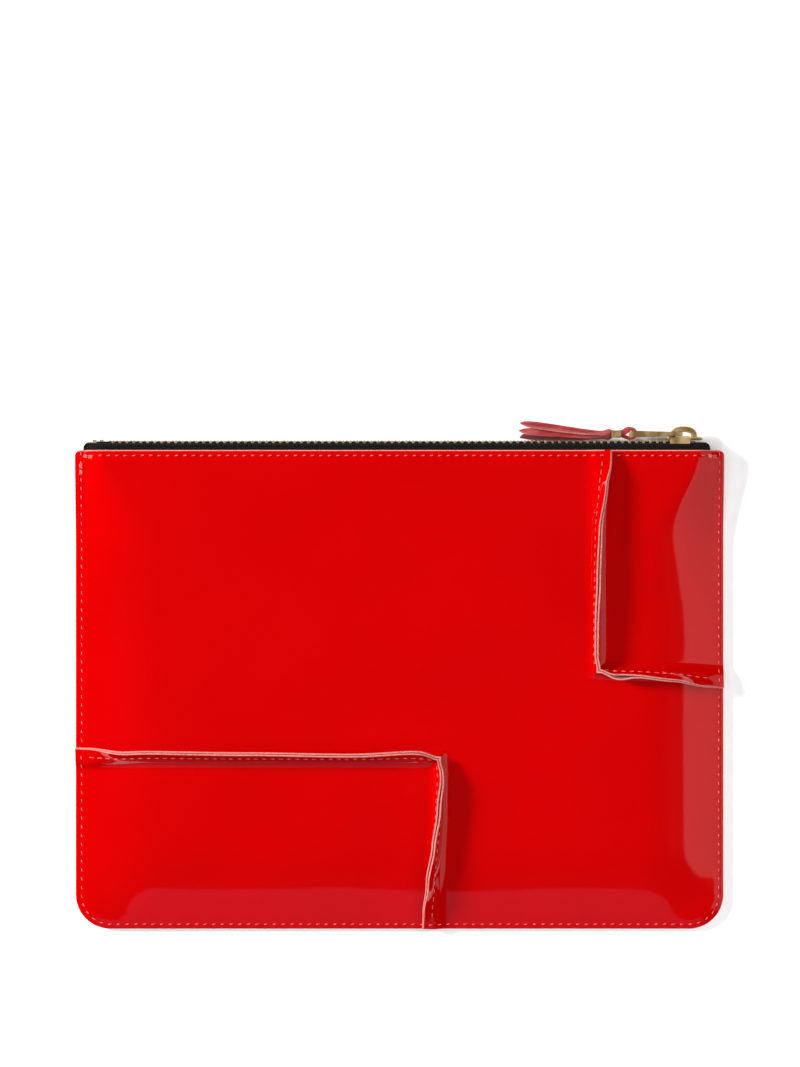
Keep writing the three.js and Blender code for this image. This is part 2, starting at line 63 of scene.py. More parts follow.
def box_mm(node):
    """Lowest and highest corner of a CAD node, in millimetres."""
    low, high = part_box(node)
    return np.array(low) / MM, np.array(high) / MM


HALF_W, HALF_H, LEATHER = box_mm("back_panel")[1]
LINING_BOX = box_mm("front_lining")
TAPE_BOX = box_mm("zip_tape_front")
PLATE_BOX = box_mm("slider_top_plate")
INNER_PLATE_BOX = box_mm("slider_bottom_plate")
CROWN_BOX = box_mm("slider_crown")
LINK_BOX = box_mm("pull_link")
FERRULE_BOX = box_mm("tassel_ferrule")

GAP = 0.3  # room between two layers that lie on each other
CHAIN_Z = (LINK_BOX[0][2] + LINK_BOX[1][2]) / 2  # middle of the zip's width
CROWN_Z = LINING_BOX[1][2] + GAP + LEATHER  # the front wall's height over the zip
MARGIN_Z = 2 * LEATHER + GAP  # its height along the sewn border
MARGIN = 2.8  # width of the sewn border
BELLY_Z = 6.7  # its height away from the zip, where nothing holds the walls apart
MOUTH_RISE_START = 15  # from this y upwards the wall rises towards the zip
RIM_WIDTH = 24  # how far in from the border the wall gets to its full height
TOP_RIM_WIDTH = 6  # the same beside the mouth
TOP_CORNER_Z = 5.6  # height of the border at the mouth's corners
TOP_CORNER_START = 45  # from this y upwards the border rises to it
BOTTOM_RADIUS = 10.8  # corners of the outline
TOP_RADIUS = 1.8

DROOP = 0.7  # how far the margin falls towards its cut edge
FILLET = 3.2  # radius with which a panel turns up into its raised seam
FLANGE = 5.3  # height of a raised seam when it stands upright
SEAM_GAP = 0.1  # half the dark line between the two raw edges
FACE = SEAM_GAP + 0.52  # from a seam's middle to its glossy face
BEND_HEIGHT = 2.4  # a leaning flange bends over this height
LEAN_ARM = FLANGE - 0.45 * BEND_HEIGHT  # shift of a flange's top for each unit of its bend's sine
STEEPEST = 0.985  # the largest sine of a bend
SEAM_END = 7  # over this length a seam's far end is pressed down
SEAM_END_PRESS = 0.28  # by this share of its height
CORNER_DIP = 0.3  # share of its height that a seam loses at its corner
CORNER_DIP_REACH = 5
CORNER_PULL = 1.3  # how far the seam's top is drawn in at its corner, which rounds it
CORNER_PULL_REACH = 3.4
CORNER_REACH = 9  # how far round the corner one leg's lean still pulls the other
DRIFT_REACH = 9  # how far on each side of a seam the leather drifts with it

LEFT_STITCH = 2.0
SIDE_STITCH = 1.5
TOP_STITCH = 1.8
STITCH_PITCH = 2.75
MOUTH_PITCH = 2.68
STITCH_SHARE = 0.45  # visible part of the pitch
STITCH_RADIUS = 0.155
TACK_RADIUS = 0.24  # of the stitches that lock a row
TACK_SHIFT = 0.28  # of the two locking lines to either side of the row
SEAM_STITCH_HEIGHT = 2.5
SEAM_STITCH_PITCH = 2.6
SEAM_STITCH_SHARE = 0.62
SEAM_STITCH_RADIUS = 0.13

TOOTH_PITCH = 2.2
FIRST_TOOTH = -91.4
TOOTH_COUNT = 83  # in each row

PATENT, RAW, FLESH = 0, 1, 2  # a leather piece's material slots


# -------- small maths

def clamp01(t):
    return np.clip(t, 0, 1)


def smooth(t):
    t = clamp01(t)
    return t * t * (3 - 2 * t)


def mix(a, b, t):
    return a + (b - a) * t


def bell(distance, width):
    """1 at distance 0, falling smoothly to nothing."""
    return np.exp(-((distance / width) ** 2))


def fill(keys, step):
    """Sorted lines through all the keys, with every gap wider than step divided evenly."""
    keys = np.unique(np.round(keys, 5))
    lines = [keys[0]]
    for a, b in zip(keys[:-1], keys[1:]):
        parts = max(1, math.ceil((b - a) / step))
        lines.extend(a + (b - a) * k / parts for k in range(1, parts + 1))
    return np.array(lines)


def edge_inset(x, y):
    """How far a point lies inside the pouch's rounded outline."""
    radius = np.where(y < 0, BOTTOM_RADIUS, TOP_RADIUS)
    qx = np.abs(x) - (HALF_W - radius)
    qy = np.abs(y) - (HALF_H - radius)
    outside = np.hypot(np.maximum(qx, 0), np.maximum(qy, 0))
    return radius - outside - np.minimum(np.maximum(qx, qy), 0)


def round_corners(x, y):
    """Moves a rectangle's points so that its corners follow the pouch's rounded outline."""
    radius = np.where(y < 0, BOTTOM_RADIUS, TOP_RADIUS)
    u = clamp01((np.abs(x) - (HALF_W - radius)) / radius)
    v = clamp01((np.abs(y) - (HALF_H - radius)) / radius)
    corner = (u > 0) & (v > 0)
    new_x = np.sign(x) * (HALF_W - radius + radius * u * np.sqrt(1 - v * v / 2))
    new_y = np.sign(y) * (HALF_H - radius + radius * v * np.sqrt(1 - u * u / 2))
    return np.where(corner, new_x, x), np.where(corner, new_y, y)


# -------- the front wall's surface

def rise(distance, width):
    return np.sin(math.pi / 2 * clamp01((distance - MARGIN) / width))


def plain_height(x, y):
    """The front wall's outer face without seams: flat over an empty pouch, and raised over the zip."""
    near_mouth = smooth((y - TOP_CORNER_START) / (HALF_H - TOP_CORNER_START))
    margin = mix(MARGIN_Z, TOP_CORNER_Z, near_mouth)
    side = rise(HALF_W - np.abs(x), mix(RIM_WIDTH, TOP_RIM_WIDTH, near_mouth))
    bottom = rise(HALF_H + y, RIM_WIDTH)
    over_zip = smooth((y - MOUTH_RISE_START) / (HALF_H - MOUTH_RISE_START))
    return mix(margin, mix(BELLY_Z, CROWN_Z, over_zip), side * bottom)


def front_height(x, y):
    """The front wall with the leather's slack, the pull of the stitching and its rounded cut edge."""
    inset = edge_inset(x, y)
    inner = smooth(inset / 25)
    slack = 0.10 * np.sin(x / 23 + 0.6) * np.cos(y / 31 - 0.4) + 0.07 * np.sin(x / 11 - y / 17)
    groove = -0.14 * bell(inset - SIDE_STITCH, 0.75)
    pucker = 0.05 * bell(inset - SIDE_STITCH - 1.2, 1.1)
    ripple = pucker * np.sin(2 * math.pi * (x + y) / (2 * STITCH_PITCH))
    edge = -0.22 * (1 - smooth(inset / 0.4))
    droop = -DROOP * (1 - clamp01(inset / MARGIN)) ** 1.3
    return plain_height(x, y) + slack * inner + groove + ripple + edge + droop


def front_underside(x, y, outer):
    """The flesh side: a leather's thickness down, but clear of the back wall where the edge is thinned."""
    return np.maximum(outer - LEATHER, LEATHER + 0.12 + 0.15 * clamp01(edge_inset(x, y) / MARGIN))


class Seam:
    """An L-shaped raised seam between the main panel and a corner panel.

    In the seam's own axes a and b, outward is positive and the corner panel fills a < 0, b < 0. The first leg
    runs along b = 0 and the second along a = 0. Each leg's lean is the shift of the seam's top along outward,
    by distance from the corner, and its drift is the shift of the whole seam. parted lists, for each leg, the
    places where the two raw edges stand apart: (distance from the corner, spread, half the opening).
    """

    def __init__(self, corner, outward, leans, drifts, lengths, parted):
        self.parted = parted
        self.corner = corner
        self.outward = outward
        self.leans = leans
        self.drifts = drifts
        self.lengths = lengths

    def local(self, x, y):
        return (x - self.corner[0]) * self.outward[0], (y - self.corner[1]) * self.outward[1]

    def plan(self, a, b):
        return self.corner[0] + a * self.outward[0], self.corner[1] + b * self.outward[1]

    def fillet(self, x, y):
        """Height of the fillet above the leather, on either side of the seam."""
        a, b = self.local(x, y)
        inside = (a < 0) & (b < 0)
        from_panel = np.minimum(-a, -b) - FACE
        along_first = np.where(a < FACE, b - FACE, np.hypot(a - FACE, np.maximum(b - FACE, 0)))
        from_main = np.where(b > FACE, along_first, a - FACE)
        distance = np.clip(np.where(inside, from_panel, from_main), 0, FILLET)
        return FILLET - np.sqrt(np.maximum(FILLET ** 2 - (FILLET - distance) ** 2, 0))

    def curve(self, leg, along):
        """Bend angle and drift of a leg at distances from the corner."""
        along = np.clip(along, 0, self.lengths[leg])
        lean = smooth_interp(along, *zip(*self.leans[leg]))
        drift = smooth_interp(along, *zip(*self.drifts[leg]))
        angle = np.arcsin(np.clip(lean / LEAN_ARM, -STEEPEST, STEEPEST))
        return angle, drift

    def bent(self, angle, height):
        """Shift, height and turn of the seam's middle line, for a height along the flange."""
        steps = 12
        shift = np.zeros_like(height)
        level = np.zeros_like(height)
        for k in range(steps):
            s = height * (k + 0.5) / steps
            turn = angle * smooth(s / BEND_HEIGHT)
            shift += np.sin(turn) * height / steps
            level += np.cos(turn) * height / steps
        return shift, level, angle * smooth(height / BEND_HEIGHT)

    def place(self, x, y, above):
        """Where a point of the upright seam goes once the seam drifts and leans."""
        a, b = self.local(x, y)
        from_corner = np.hypot(a, b)
        height = np.maximum(above, 0) * (1 - CORNER_DIP * bell(from_corner, CORNER_DIP_REACH))
        to_first = np.where(a < 0, np.abs(b), from_corner)
        to_second = np.where(b < 0, np.abs(a), from_corner)
        first = to_first <= to_second
        raised = (np.minimum(to_first, to_second) < (FACE + FILLET) * 1.5) & (above > 0)
        alongs = (np.maximum(-a, 0), np.maximum(-b, 0))
        drawn = CORNER_PULL * bell(from_corner, CORNER_PULL_REACH) * (height / FLANGE)
        move = [-drawn, -drawn]
        level = above
        for leg, own, offset, other in ((0, first, b, alongs[1]), (1, ~first, a, alongs[0])):
            angle, drift = self.curve(leg, alongs[leg])
            shift, upright, turn = self.bent(angle, height)
            share = np.where(own, 1.0, smooth(1 - other / CORNER_REACH))
            own_raised = own & raised
            moved = share * raised * shift
            moved += np.where(own_raised, offset * (np.cos(turn) - 1), 0)
            for centre, spread, opening in self.parted[leg]:
                apart = opening * bell(alongs[leg] - centre, spread) * (height / FLANGE) ** 2
                moved += np.where(own_raised, np.sign(offset) * apart, 0)
            end = smooth((alongs[leg] - self.lengths[leg] + SEAM_END) / (SEAM_END - 1))
            turned = np.maximum(upright - offset * np.sin(turn), 0.06) * (1 - SEAM_END_PRESS * end)
            level = np.where(own_raised, turned, level)
            move[1 - leg] = move[1 - leg] + moved + drift * share * bell(offset, DRIFT_REACH)
        return *self.plan(a + move[0], b + move[1]), level


def smooth_interp(at, places, values):
    """Values at places, joined by smooth steps."""
    at = np.asarray(at, float)
    result = np.full(at.shape, float(values[0]))
    for k in range(len(places) - 1):
        t = smooth((at - places[k]) / (places[k + 1] - places[k]))
        result = np.where(at >= places[k], mix(values[k], values[k + 1], t), result)
    return result


LOWER_LEFT = Seam(
    corner=(12.5, -21.2),
    outward=(1, 1),
    leans=(
        ((0, 1.4), (6, 2.0), (28, 1.0), (60, 1.5), (98, 2.0), (111, 3.9), (115, 4.0)),
        ((0, 1.3), (6, 1.2), (16, 0.2), (28, -1.0), (40, -2.6), (49, -3.8), (55, -4.0)),
    ),
    drifts=(((0, 0), (90, 0), (115, -1.2)), ((0, 0), (14, -0.3), (38, -1.3), (55, -1.2))),
    lengths=(115, 54.5),
    parted=(((7, 4, 0.06),), ((14, 10, 0.13), (34, 6, 0.08))),
)
UPPER_RIGHT = Seam(
    corner=(62.2, 5.9),
    outward=(-1, -1),
    leans=(
        ((0, 0.9), (5, 1.8), (12, 1.2), (24, 2.4), (34, 3.7), (40, 4.0)),
        ((0, 0.3), (14, 0), (30, -0.7), (44, -1.2), (58, -2.7), (66, -3.9), (70, -4.0)),
    ),
    drifts=(((0, 0), (20, 0.3), (40, 1.3)), ((0, 0.3), (40, 0.4), (70, -0.4))),
    lengths=(40, 69.8),
    parted=(((7, 3.2, 0.5),), ((30, 16, 0.12),)),
)


# -------- meshes

def add_object(name, data):
    obj = bpy.data.objects.new(name, data)
    bpy.context.scene.collection.objects.link(obj)
    return obj


class Mesh:
    """Collects points, faces and each face's material, then makes a Blender object."""

    def __init__(self):
        self.points = []
        self.faces = []
        self.slots = []

    def add_points(self, points):
        first = len(self.points)
        self.points.extend(tuple(float(v) for v in p) for p in points)
        return first

    def add_face(self, corners, slot=0):
        self.faces.append(tuple(int(c) for c in corners))
        self.slots.append(slot)

    def loft(self, rings, slot=0, closed=False, slots=None):
        """Rings of equal count joined in order. Open ends get caps. slots may give each side a slot."""
        count = len(rings[0])
        first = self.add_points([p for ring in rings for p in ring])
        for r in range(len(rings) if closed else len(rings) - 1):
            this, after = first + r * count, first + (r + 1) % len(rings) * count
            for i in range(count):
                j = (i + 1) % count
                self.add_face((this + i, this + j, after + j, after + i), slots[i] if slots else slot)
        if not closed:
            last = first + (len(rings) - 1) * count
            self.add_face(tuple(first + i for i in reversed(range(count))), slot)
            self.add_face(tuple(last + i for i in range(count)), slot)

    def make(self, name, materials, sharp_degrees=35):
        mesh = bpy.data.meshes.new(name)
        mesh.from_pydata([tuple(v * MM for v in p) for p in self.points], [], self.faces)
        for material in materials:
            mesh.materials.append(material)
        mesh.polygons.foreach_set("material_index", self.slots)
        mesh.polygons.foreach_set("use_smooth", [True] * len(self.faces))
        mesh.set_sharp_from_angle(angle=math.radians(sharp_degrees))
        return add_object(name, mesh)


def add_bevel(obj, width):
    """Rounds the edges of a piece and keeps the result as its mesh."""
    modifier = obj.modifiers.new("round", "BEVEL")
    modifier.width = width * MM
    modifier.segments = 3
    modifier.limit_method = "ANGLE"
    modifier.angle_limit = math.radians(32)
    apply_modifiers(obj)


def apply_modifiers(obj):
    graph = bpy.context.evaluated_depsgraph_get()
    mesh = bpy.data.meshes.new_from_object(obj.evaluated_get(graph))
    obj.modifiers.clear()
    obj.data = mesh


def sweep(mesh, path, section, slot=0, closed=False, up=(0, 0, 1), twist=None, scale=None):
    """A section of (side, up) points carried along a path."""
    path = [Vector(p) for p in path]
    rings = []
    for k, p in enumerate(path):
        after = path[(k + 1) % len(path)] if closed or k + 1 < len(path) else p
        before = path[k - 1] if closed or k > 0 else p
        forward = (after - before).normalized()
        side = forward.cross(Vector(up)).normalized()
        over = side.cross(forward).normalized()
        if twist is not None:
            turn = Matrix.Rotation(twist[k], 3, forward)
            side, over = turn @ side, turn @ over
        s = scale[k] if scale is not None else (1, 1)
        rings.append([p + side * (u * s[0]) + over * (v * s[1]) for u, v in section])
    mesh.loft(rings, slot, closed)


def round_section(radius, sides):
    angles = [2 * math.pi * k / sides for k in range(sides)]
    return [(radius * math.cos(t), radius * math.sin(t)) for t in angles]


def block(mesh, low, high):
    (x0, y0, z0), (x1, y1, z1) = low, high
    mesh.loft([[(x, y0, z0), (x, y1, z0), (x, y1, z1), (x, y0, z1)] for x in (x0, x1)])


# -------- front panels

# Distances from the outline and from a seam's middle at which a panel's grid has lines.
RIM_LINES = np.array([0, 0.12, 0.35, 0.8, 1.3, 1.8, 2.3, 2.8, 3.6, 4.6, 5.8, 7.2, 8.8, 10.8, 13, 15.4, 17.8])
FILLET_LINES = FACE + FILLET * (1 - np.cos(np.radians([0, 15, 30, 45, 60, 75, 90])))
PANEL_STEP = 1.7
TOP_CUT = 0.36  # width of the pale cut edge that shows along the mouth

# A turned-up edge: from its fillet up its glossy face, over the raw edge and down the flesh side. Each point
# is its distance from the seam's middle and its height.
UPTURN = (
    (FACE, mix(FILLET, FLANGE, 0.35)), (FACE, mix(FILLET, FLANGE, 0.7)), (FACE, FLANGE - 0.14),
    (FACE - 0.12, FLANGE), (SEAM_GAP + 0.1, FLANGE), (SEAM_GAP, FLANGE - 0.12),
    (SEAM_GAP, 0.6 * FLANGE), (SEAM_GAP, 0.4),
)
UPTURN_SLOTS = (PATENT,) * 3 + (RAW,) * 3 + (FLESH,) * 3


SIDES = ((0, -1, "bottom"), (1, 0, "right"), (0, 1, "top"), (-1, 0, "left"))


def seam_of(x, y):
    return LOWER_LEFT if x + y < 20 else UPPER_RIGHT


def panel(name, xs, ys, kept, seam_sides, materials):
    """A closed leather panel on a grid, with its edges turned up where it meets a seam.

    kept says which cells are leather. An edge beside one that isn't, or on one of the seam_sides, turns up.
    """
    grid_x, grid_y = np.meshgrid(xs, ys, indexing="ij")
    used = np.zeros(grid_x.shape, bool)
    for corner in (used[:-1, :-1], used[1:, :-1], used[:-1, 1:], used[1:, 1:]):
        corner |= kept
    count = int(used.sum())
    ids = np.full(grid_x.shape, -1)
    ids[used] = np.arange(count)
    fillets = np.maximum(LOWER_LEFT.fillet(grid_x, grid_y), UPPER_RIGHT.fillet(grid_x, grid_y))
    plan = [list(grid_x[used]) * 2, list(grid_y[used]) * 2, list(fillets[used]) + [-LEATHER] * count]
    mesh = Mesh()
    columns = {}

    def column(i, j, is_seam):
        """The points from the top of an edge, over its cut edge, to the underside."""
        if (i, j) in columns:
            return columns[i, j]
        top, under = int(ids[i, j]), int(ids[i, j]) + count
        chain = [top]
        if is_seam:
            x, y = grid_x[i, j], grid_y[i, j]
            seam = seam_of(x, y)
            rest = seam.local(x, y)
            on = [abs(abs(v) - FACE) < 1e-3 for v in rest]
            if all(on) and rest[0] * rest[1] < 0:
                on = [v > 0 for v in rest]

            def moved(offset):
                return seam.plan(*[math.copysign(offset, v) if o else v for v, o in zip(rest, on)])

            for offset, height in UPTURN:
                chain.append(len(plan[0]))
                for values, value in zip(plan, (*moved(offset), height)):
                    values.append(value)
            plan[0][under], plan[1][under] = moved(SEAM_GAP)
        chain.append(under)
        columns[i, j] = chain
        return chain

    nx, ny = kept.shape
    for i in range(nx):
        for j in range(ny):
            if not kept[i, j]:
                continue
            corners = [(i, j), (i + 1, j), (i + 1, j + 1), (i, j + 1)]
            cut = ys[j] > HALF_H - TOP_CUT - 1e-3
            mesh.add_face([ids[c] for c in corners], RAW if cut else PATENT)
            mesh.add_face([ids[c] + count for c in reversed(corners)], FLESH)
            for k, (di, dj, side) in enumerate(SIDES):
                ni, nj = i + di, j + dj
                out = not (0 <= ni < nx and 0 <= nj < ny)
                if not out and kept[ni, nj]:
                    continue
                is_seam = not out or side in seam_sides
                ends = [column(*corners[c % 4], is_seam) for c in (k, k + 1)]
                # Where a seam meets the outline, the shorter chain's last point is used again.
                most = max(len(chain) for chain in ends)
                p, q = (chain[:-1] + [chain[-1]] * (most - len(chain) + 1) for chain in ends)
                for level in range(most - 1):
                    ring = [p[level + 1], q[level + 1], q[level], p[level]]
                    ring = [v for n, v in enumerate(ring) if v != ring[n - 1]]
                    if len(ring) > 2:
                        mesh.add_face(ring, UPTURN_SLOTS[level] if is_seam else RAW)

    x, y, above = (np.array(v, float) for v in plan)
    x, y = round_corners(x, y)
    base = front_height(x, y)
    for seam in (LOWER_LEFT, UPPER_RIGHT):
        x, y, above = seam.place(x, y, above)
    x = np.clip(x, -HALF_W, HALF_W)
    z = base + above
    under = slice(count, 2 * count)
    z[under] = front_underside(x[under], y[under], base[under])
    mesh.points = list(zip(x, y, z))
    return mesh.make(name, materials)


def grid_lines(*groups, step):
    return fill(np.concatenate(groups), step)


def seam_edge(seam, axis, side):
    """The lines of a panel's grid that run along a seam, on its outward side (1) or its inner side (-1)."""
    return seam.corner[axis] + side * seam.outward[axis] * FILLET_LINES


def make_front_panels(materials):
    left, right = -HALF_W + RIM_LINES, HALF_W - RIM_LINES
    bottom, top = -HALF_H + RIM_LINES, HALF_H - RIM_LINES[:12]
    seams = (LOWER_LEFT, UPPER_RIGHT)
    xs = grid_lines(left, right, *(seam_edge(seam, 0, 1) for seam in seams), step=PANEL_STEP)
    ys = grid_lines(bottom, top, *(seam_edge(seam, 1, 1) for seam in seams), step=PANEL_STEP)
    mid_x, mid_y = np.meshgrid((xs[:-1] + xs[1:]) / 2, (ys[:-1] + ys[1:]) / 2, indexing="ij")
    kept = np.ones(mid_x.shape, bool)
    for seam in seams:
        a, b = seam.local(mid_x, mid_y)
        kept &= (a > FACE) | (b > FACE)
    panels = [panel("front_main_panel_leather", xs, ys, kept, (), materials)]

    for name, seam, across, up, sides in (
        ("lower_left_panel_leather", LOWER_LEFT, left[:-1], bottom[:-1], ("right", "top")),
        ("upper_right_panel_leather", UPPER_RIGHT, right[:-1], top, ("left", "bottom")),
    ):
        xs = grid_lines(across, seam_edge(seam, 0, -1), step=PANEL_STEP)
        ys = grid_lines(up, seam_edge(seam, 1, -1), step=PANEL_STEP)
        panels.append(panel(name, xs, ys, np.ones((len(xs) - 1, len(ys) - 1), bool), sides, materials))
    return panels


def slab(name, xs, ys, upper, under, materials, slots=(0, 1, 2), shape=round_corners):
    """A closed sheet on a grid, between two surfaces given as functions of the plan.

    slots are for its top, edge and underside, and shape rounds the plan's corners.
    """
    grid_x, grid_y = np.meshgrid(xs, ys, indexing="ij")
    nx, ny = grid_x.shape
    flat_x, flat_y = shape(grid_x.ravel(), grid_y.ravel())
    mesh = Mesh()
    mesh.add_points(zip(flat_x, flat_y, upper(flat_x, flat_y)))
    mesh.add_points(zip(flat_x, flat_y, under(flat_x, flat_y)))
    count = nx * ny
    index = np.arange(count).reshape(nx, ny)
    for i in range(nx - 1):
        for j in range(ny - 1):
            corners = [index[i, j], index[i + 1, j], index[i + 1, j + 1], index[i, j + 1]]
            mesh.add_face(corners, slots[0])
            mesh.add_face([c + count for c in reversed(corners)], slots[2])
    rim = list(index[:, 0]) + list(index[-1, 1:]) + list(index[-2::-1, -1]) + list(index[0, -2:0:-1])
    for a, b in zip(rim, rim[1:] + rim[:1]):
        mesh.add_face([b, a, a + count, b + count], slots[1])
    return mesh.make(name, materials)


# -------- materials

class Look:
    """A procedural material: a principled shader and the nodes that vary it."""

    def __init__(self, name, **values):
        self.material = bpy.data.materials.new(name)
        self.material.use_nodes = True
        self.tree = self.material.node_tree
        self.shader = self.tree.nodes["Principled BSDF"]
        self.place = self.node("ShaderNodeTexCoord").outputs["Object"]
        for key, value in values.items():
            self.shader.inputs[key.replace("_", " ")].default_value = value

    def connect(self, value, socket):
        """Feeds a socket with another node's output or with a plain value."""
        if hasattr(value, "links"):
            self.tree.links.new(value, socket)
        else:
            socket.default_value = value

    def node(self, kind, **inputs):
        node = self.tree.nodes.new(kind)
        for key, value in inputs.items():
            self.connect(value, node.inputs[key.replace("_", " ")])
        return node

    def stretched(self, scale):
        """The object's coordinates with each axis scaled."""
        return self.node("ShaderNodeMapping", Vector=self.place, Scale=scale).outputs["Vector"]

    def noise(self, scale, detail=3.0, roughness=0.5, place=None):
        place = place or self.place
        node = self.node("ShaderNodeTexNoise", Vector=place, Scale=scale, Detail=detail, Roughness=roughness)
        return node.outputs["Fac"]

    def wave(self, scale, axis, distortion):
        node = self.node("ShaderNodeTexWave", Vector=self.place, Scale=scale, Distortion=distortion)
        node.bands_direction = axis
        return node.outputs["Fac"]

    def math(self, operation, a, b):
        node = self.tree.nodes.new("ShaderNodeMath")
        node.operation = operation
        for socket, value in zip(node.inputs, (a, b)):
            self.connect(value, socket)
        return node.outputs[0]

    def ramp(self, factor, stops):
        """Colours by factor: stops are (place, colour)."""
        node = self.node("ShaderNodeValToRGB", Fac=factor)
        elements = node.color_ramp.elements
        while len(elements) < len(stops):
            elements.new(0.5)
        for element, (at, colour) in zip(elements, stops):
            element.position = at
            element.color = (*colour, 1)
        return node.outputs["Color"]

    def spread(self, factor, low, high):
        node = self.node("ShaderNodeMapRange", Value=factor, To_Min=low, To_Max=high)
        return node.outputs["Result"]

    def feed(self, socket, output):
        self.tree.links.new(output, self.shader.inputs[socket])

    def bump(self, height, distance, strength=1.0, socket="Normal"):
        node = self.node("ShaderNodeBump", Height=height, Distance=distance * MM, Strength=strength)
        self.feed(socket, node.outputs["Normal"])


def make_patent(name, dark, light):
    """Lacquered leather: a smooth clear coat over a dyed base, with a faint orange-peel."""
    coat = {"Coat_Weight": 1.0, "Coat_Roughness": 0.06, "Coat_IOR": 1.5}
    look = Look(name, Roughness=0.5, Specular_IOR_Level=0.0, **coat)
    look.feed("Base Color", look.ramp(look.noise(28, 2.0), [(0.3, dark), (0.7, light)]))
    look.bump(look.noise(420, 1.0), 0.012, 0.6, "Coat Normal")
    look.bump(look.noise(2600, 2.0), 0.02, 0.5)
    return look.material


def make_raw_edge():
    """The cut edge: undyed fibres with specks of the dye."""
    look = Look("raw_edge", Roughness=0.85, Specular_IOR_Level=0.2)
    fibres = look.noise(1800, 4.0, 0.65)
    stops = [(0.28, (0.36, 0.045, 0.04)), (0.45, (0.56, 0.16, 0.135)), (0.75, (0.66, 0.25, 0.21))]
    look.feed("Base Color", look.ramp(fibres, stops))
    look.bump(fibres, 0.08)
    return look.material


def make_flesh():
    look = Look("flesh_side", Roughness=0.95, Specular_IOR_Level=0.1, Sheen_Weight=0.25, Sheen_Roughness=0.5)
    nap = look.noise(900, 4.0, 0.7)
    look.feed("Base Color", look.ramp(nap, [(0.3, (0.10, 0.014, 0.014)), (0.7, (0.19, 0.04, 0.036))]))
    look.bump(nap, 0.12)
    return look.material


def make_thread():
    """Waxed thread, with its twist."""
    look = Look("thread", Roughness=0.5, Specular_IOR_Level=0.35)
    ply = look.wave(420, "DIAGONAL", 1.0)
    look.feed("Base Color", look.ramp(ply, [(0.1, (0.62, 0.06, 0.055)), (0.8, (0.76, 0.16, 0.14))]))
    look.bump(ply, 0.05)
    return look.material


# Painted shade: the darker red of a stitch hole's recess, put on a flat disc that lies on the leather.
def make_hole_shade():
    look = Look("stitch_hole_shade", Roughness=0.7, Specular_IOR_Level=0.2)
    stops = [(0.3, (0.30, 0.0012, 0.002)), (0.7, (0.40, 0.002, 0.003))]
    look.feed("Base Color", look.ramp(look.noise(900), stops))
    return look.material


def make_weave(name, dark, light, pitch, depth, sheen):
    """A plain weave: threads along X and Y that cross. pitch is in millimetres."""
    look = Look(name, Roughness=0.9, Specular_IOR_Level=0.15, Sheen_Weight=sheen, Sheen_Roughness=0.4)
    scale = 2 * math.pi / 20 / (pitch * MM)
    warp = look.wave(scale, "X", 0.6)
    weft = look.wave(scale, "Y", 0.6)
    cloth = look.math("MULTIPLY", warp, weft)
    fuzz = look.math("ADD", cloth, look.math("MULTIPLY", look.noise(1500, 3.0), 0.5))
    look.feed("Base Color", look.ramp(fuzz, [(0.25, dark), (1.0, light)]))
    look.bump(fuzz, depth)
    return look.material


def make_brass(name, dark, light, roughness):
    """Polished brass with scratches from handling. The dark and light patches of its base colour are partly
    tarnish and partly painted reflection, standing in for the dark and bright surroundings it would mirror.
    """
    look = Look(name, Metallic=0.65, Specular_IOR_Level=0.7)
    tarnish_and_painted_reflections = look.noise(240, 1.5, 0.5)
    # Painted reflection, partly tarnish: the ramp from dark to light brass paints the contrast of mirrored
    # surroundings.
    look.feed("Base Color", look.ramp(tarnish_and_painted_reflections, [(0.36, dark), (0.62, light)]))
    look.feed("Roughness", look.spread(tarnish_and_painted_reflections, roughness, roughness + 0.16))
    scratches = look.noise(260, 3.0, 0.6, look.stretched((1, 9, 9)))
    look.bump(scratches, 0.01, 0.5)
    return look.material


def make_tassel_leather(name, dark, mid, light, coat):
    """Thin aniline leather with streaks from dark to pale: partly rubbing wear, partly painted shade in the
    dark stop and painted highlight in the pale one.
    """
    look = Look(name, Roughness=0.5, Specular_IOR_Level=0.4, Coat_Weight=coat, Coat_Roughness=0.3)
    rubbing_and_painted_shading = look.noise(340, 4.0, 0.6, look.stretched((0.25, 1, 1)))
    # Painted shade and highlight: the dark stop stands for shade in the folds and the pale stop for
    # highlights, along with real wear.
    look.feed("Base Color", look.ramp(rubbing_and_painted_shading, [(0.32, dark), (0.5, mid), (0.72, light)]))
    look.bump(look.noise(1600, 3.0), 0.06)
    return look.material


PATENT_RED = make_patent("patent_red", (0.395, 0.0002, 0.0004), (0.425, 0.0002, 0.0006))
RAW_EDGE = make_raw_edge()
FLESH_SIDE = make_flesh()
THREAD = make_thread()
HOLE_SHADE = make_hole_shade()
TAPE = make_weave("tape_weave", (0.002, 0.002, 0.002), (0.016, 0.013, 0.011), 0.62, 0.16, 0.12)
LINING = make_weave("lining_weave", (0.03, 0.003, 0.004), (0.085, 0.010, 0.012), 0.5, 0.06, 0.2)
# Both brasses carry painted reflection: dark and light patches in their base colour.
BRASS = make_brass("brass", (0.34, 0.20, 0.065), (0.82, 0.60, 0.28), 0.16)
TOOTH_BRASS = make_brass("tooth_brass", (0.40, 0.27, 0.14), (0.58, 0.42, 0.25), 0.34)
# Both tassel leathers carry painted shade and highlight in their dark and pale stops.
TASSEL = make_tassel_leather(
    "tassel_grain", (0.16, 0.008, 0.010), (0.27, 0.022, 0.026), (0.36, 0.07, 0.07), coat=0.35
)
TASSEL_BACK = make_tassel_leather(
    "tassel_flesh", (0.09, 0.022, 0.028), (0.13, 0.035, 0.042), (0.19, 0.06, 0.07), coat=0.0
)
LEATHER_SET = (PATENT_RED, RAW_EDGE, FLESH_SIDE)


# -------- joining the frame

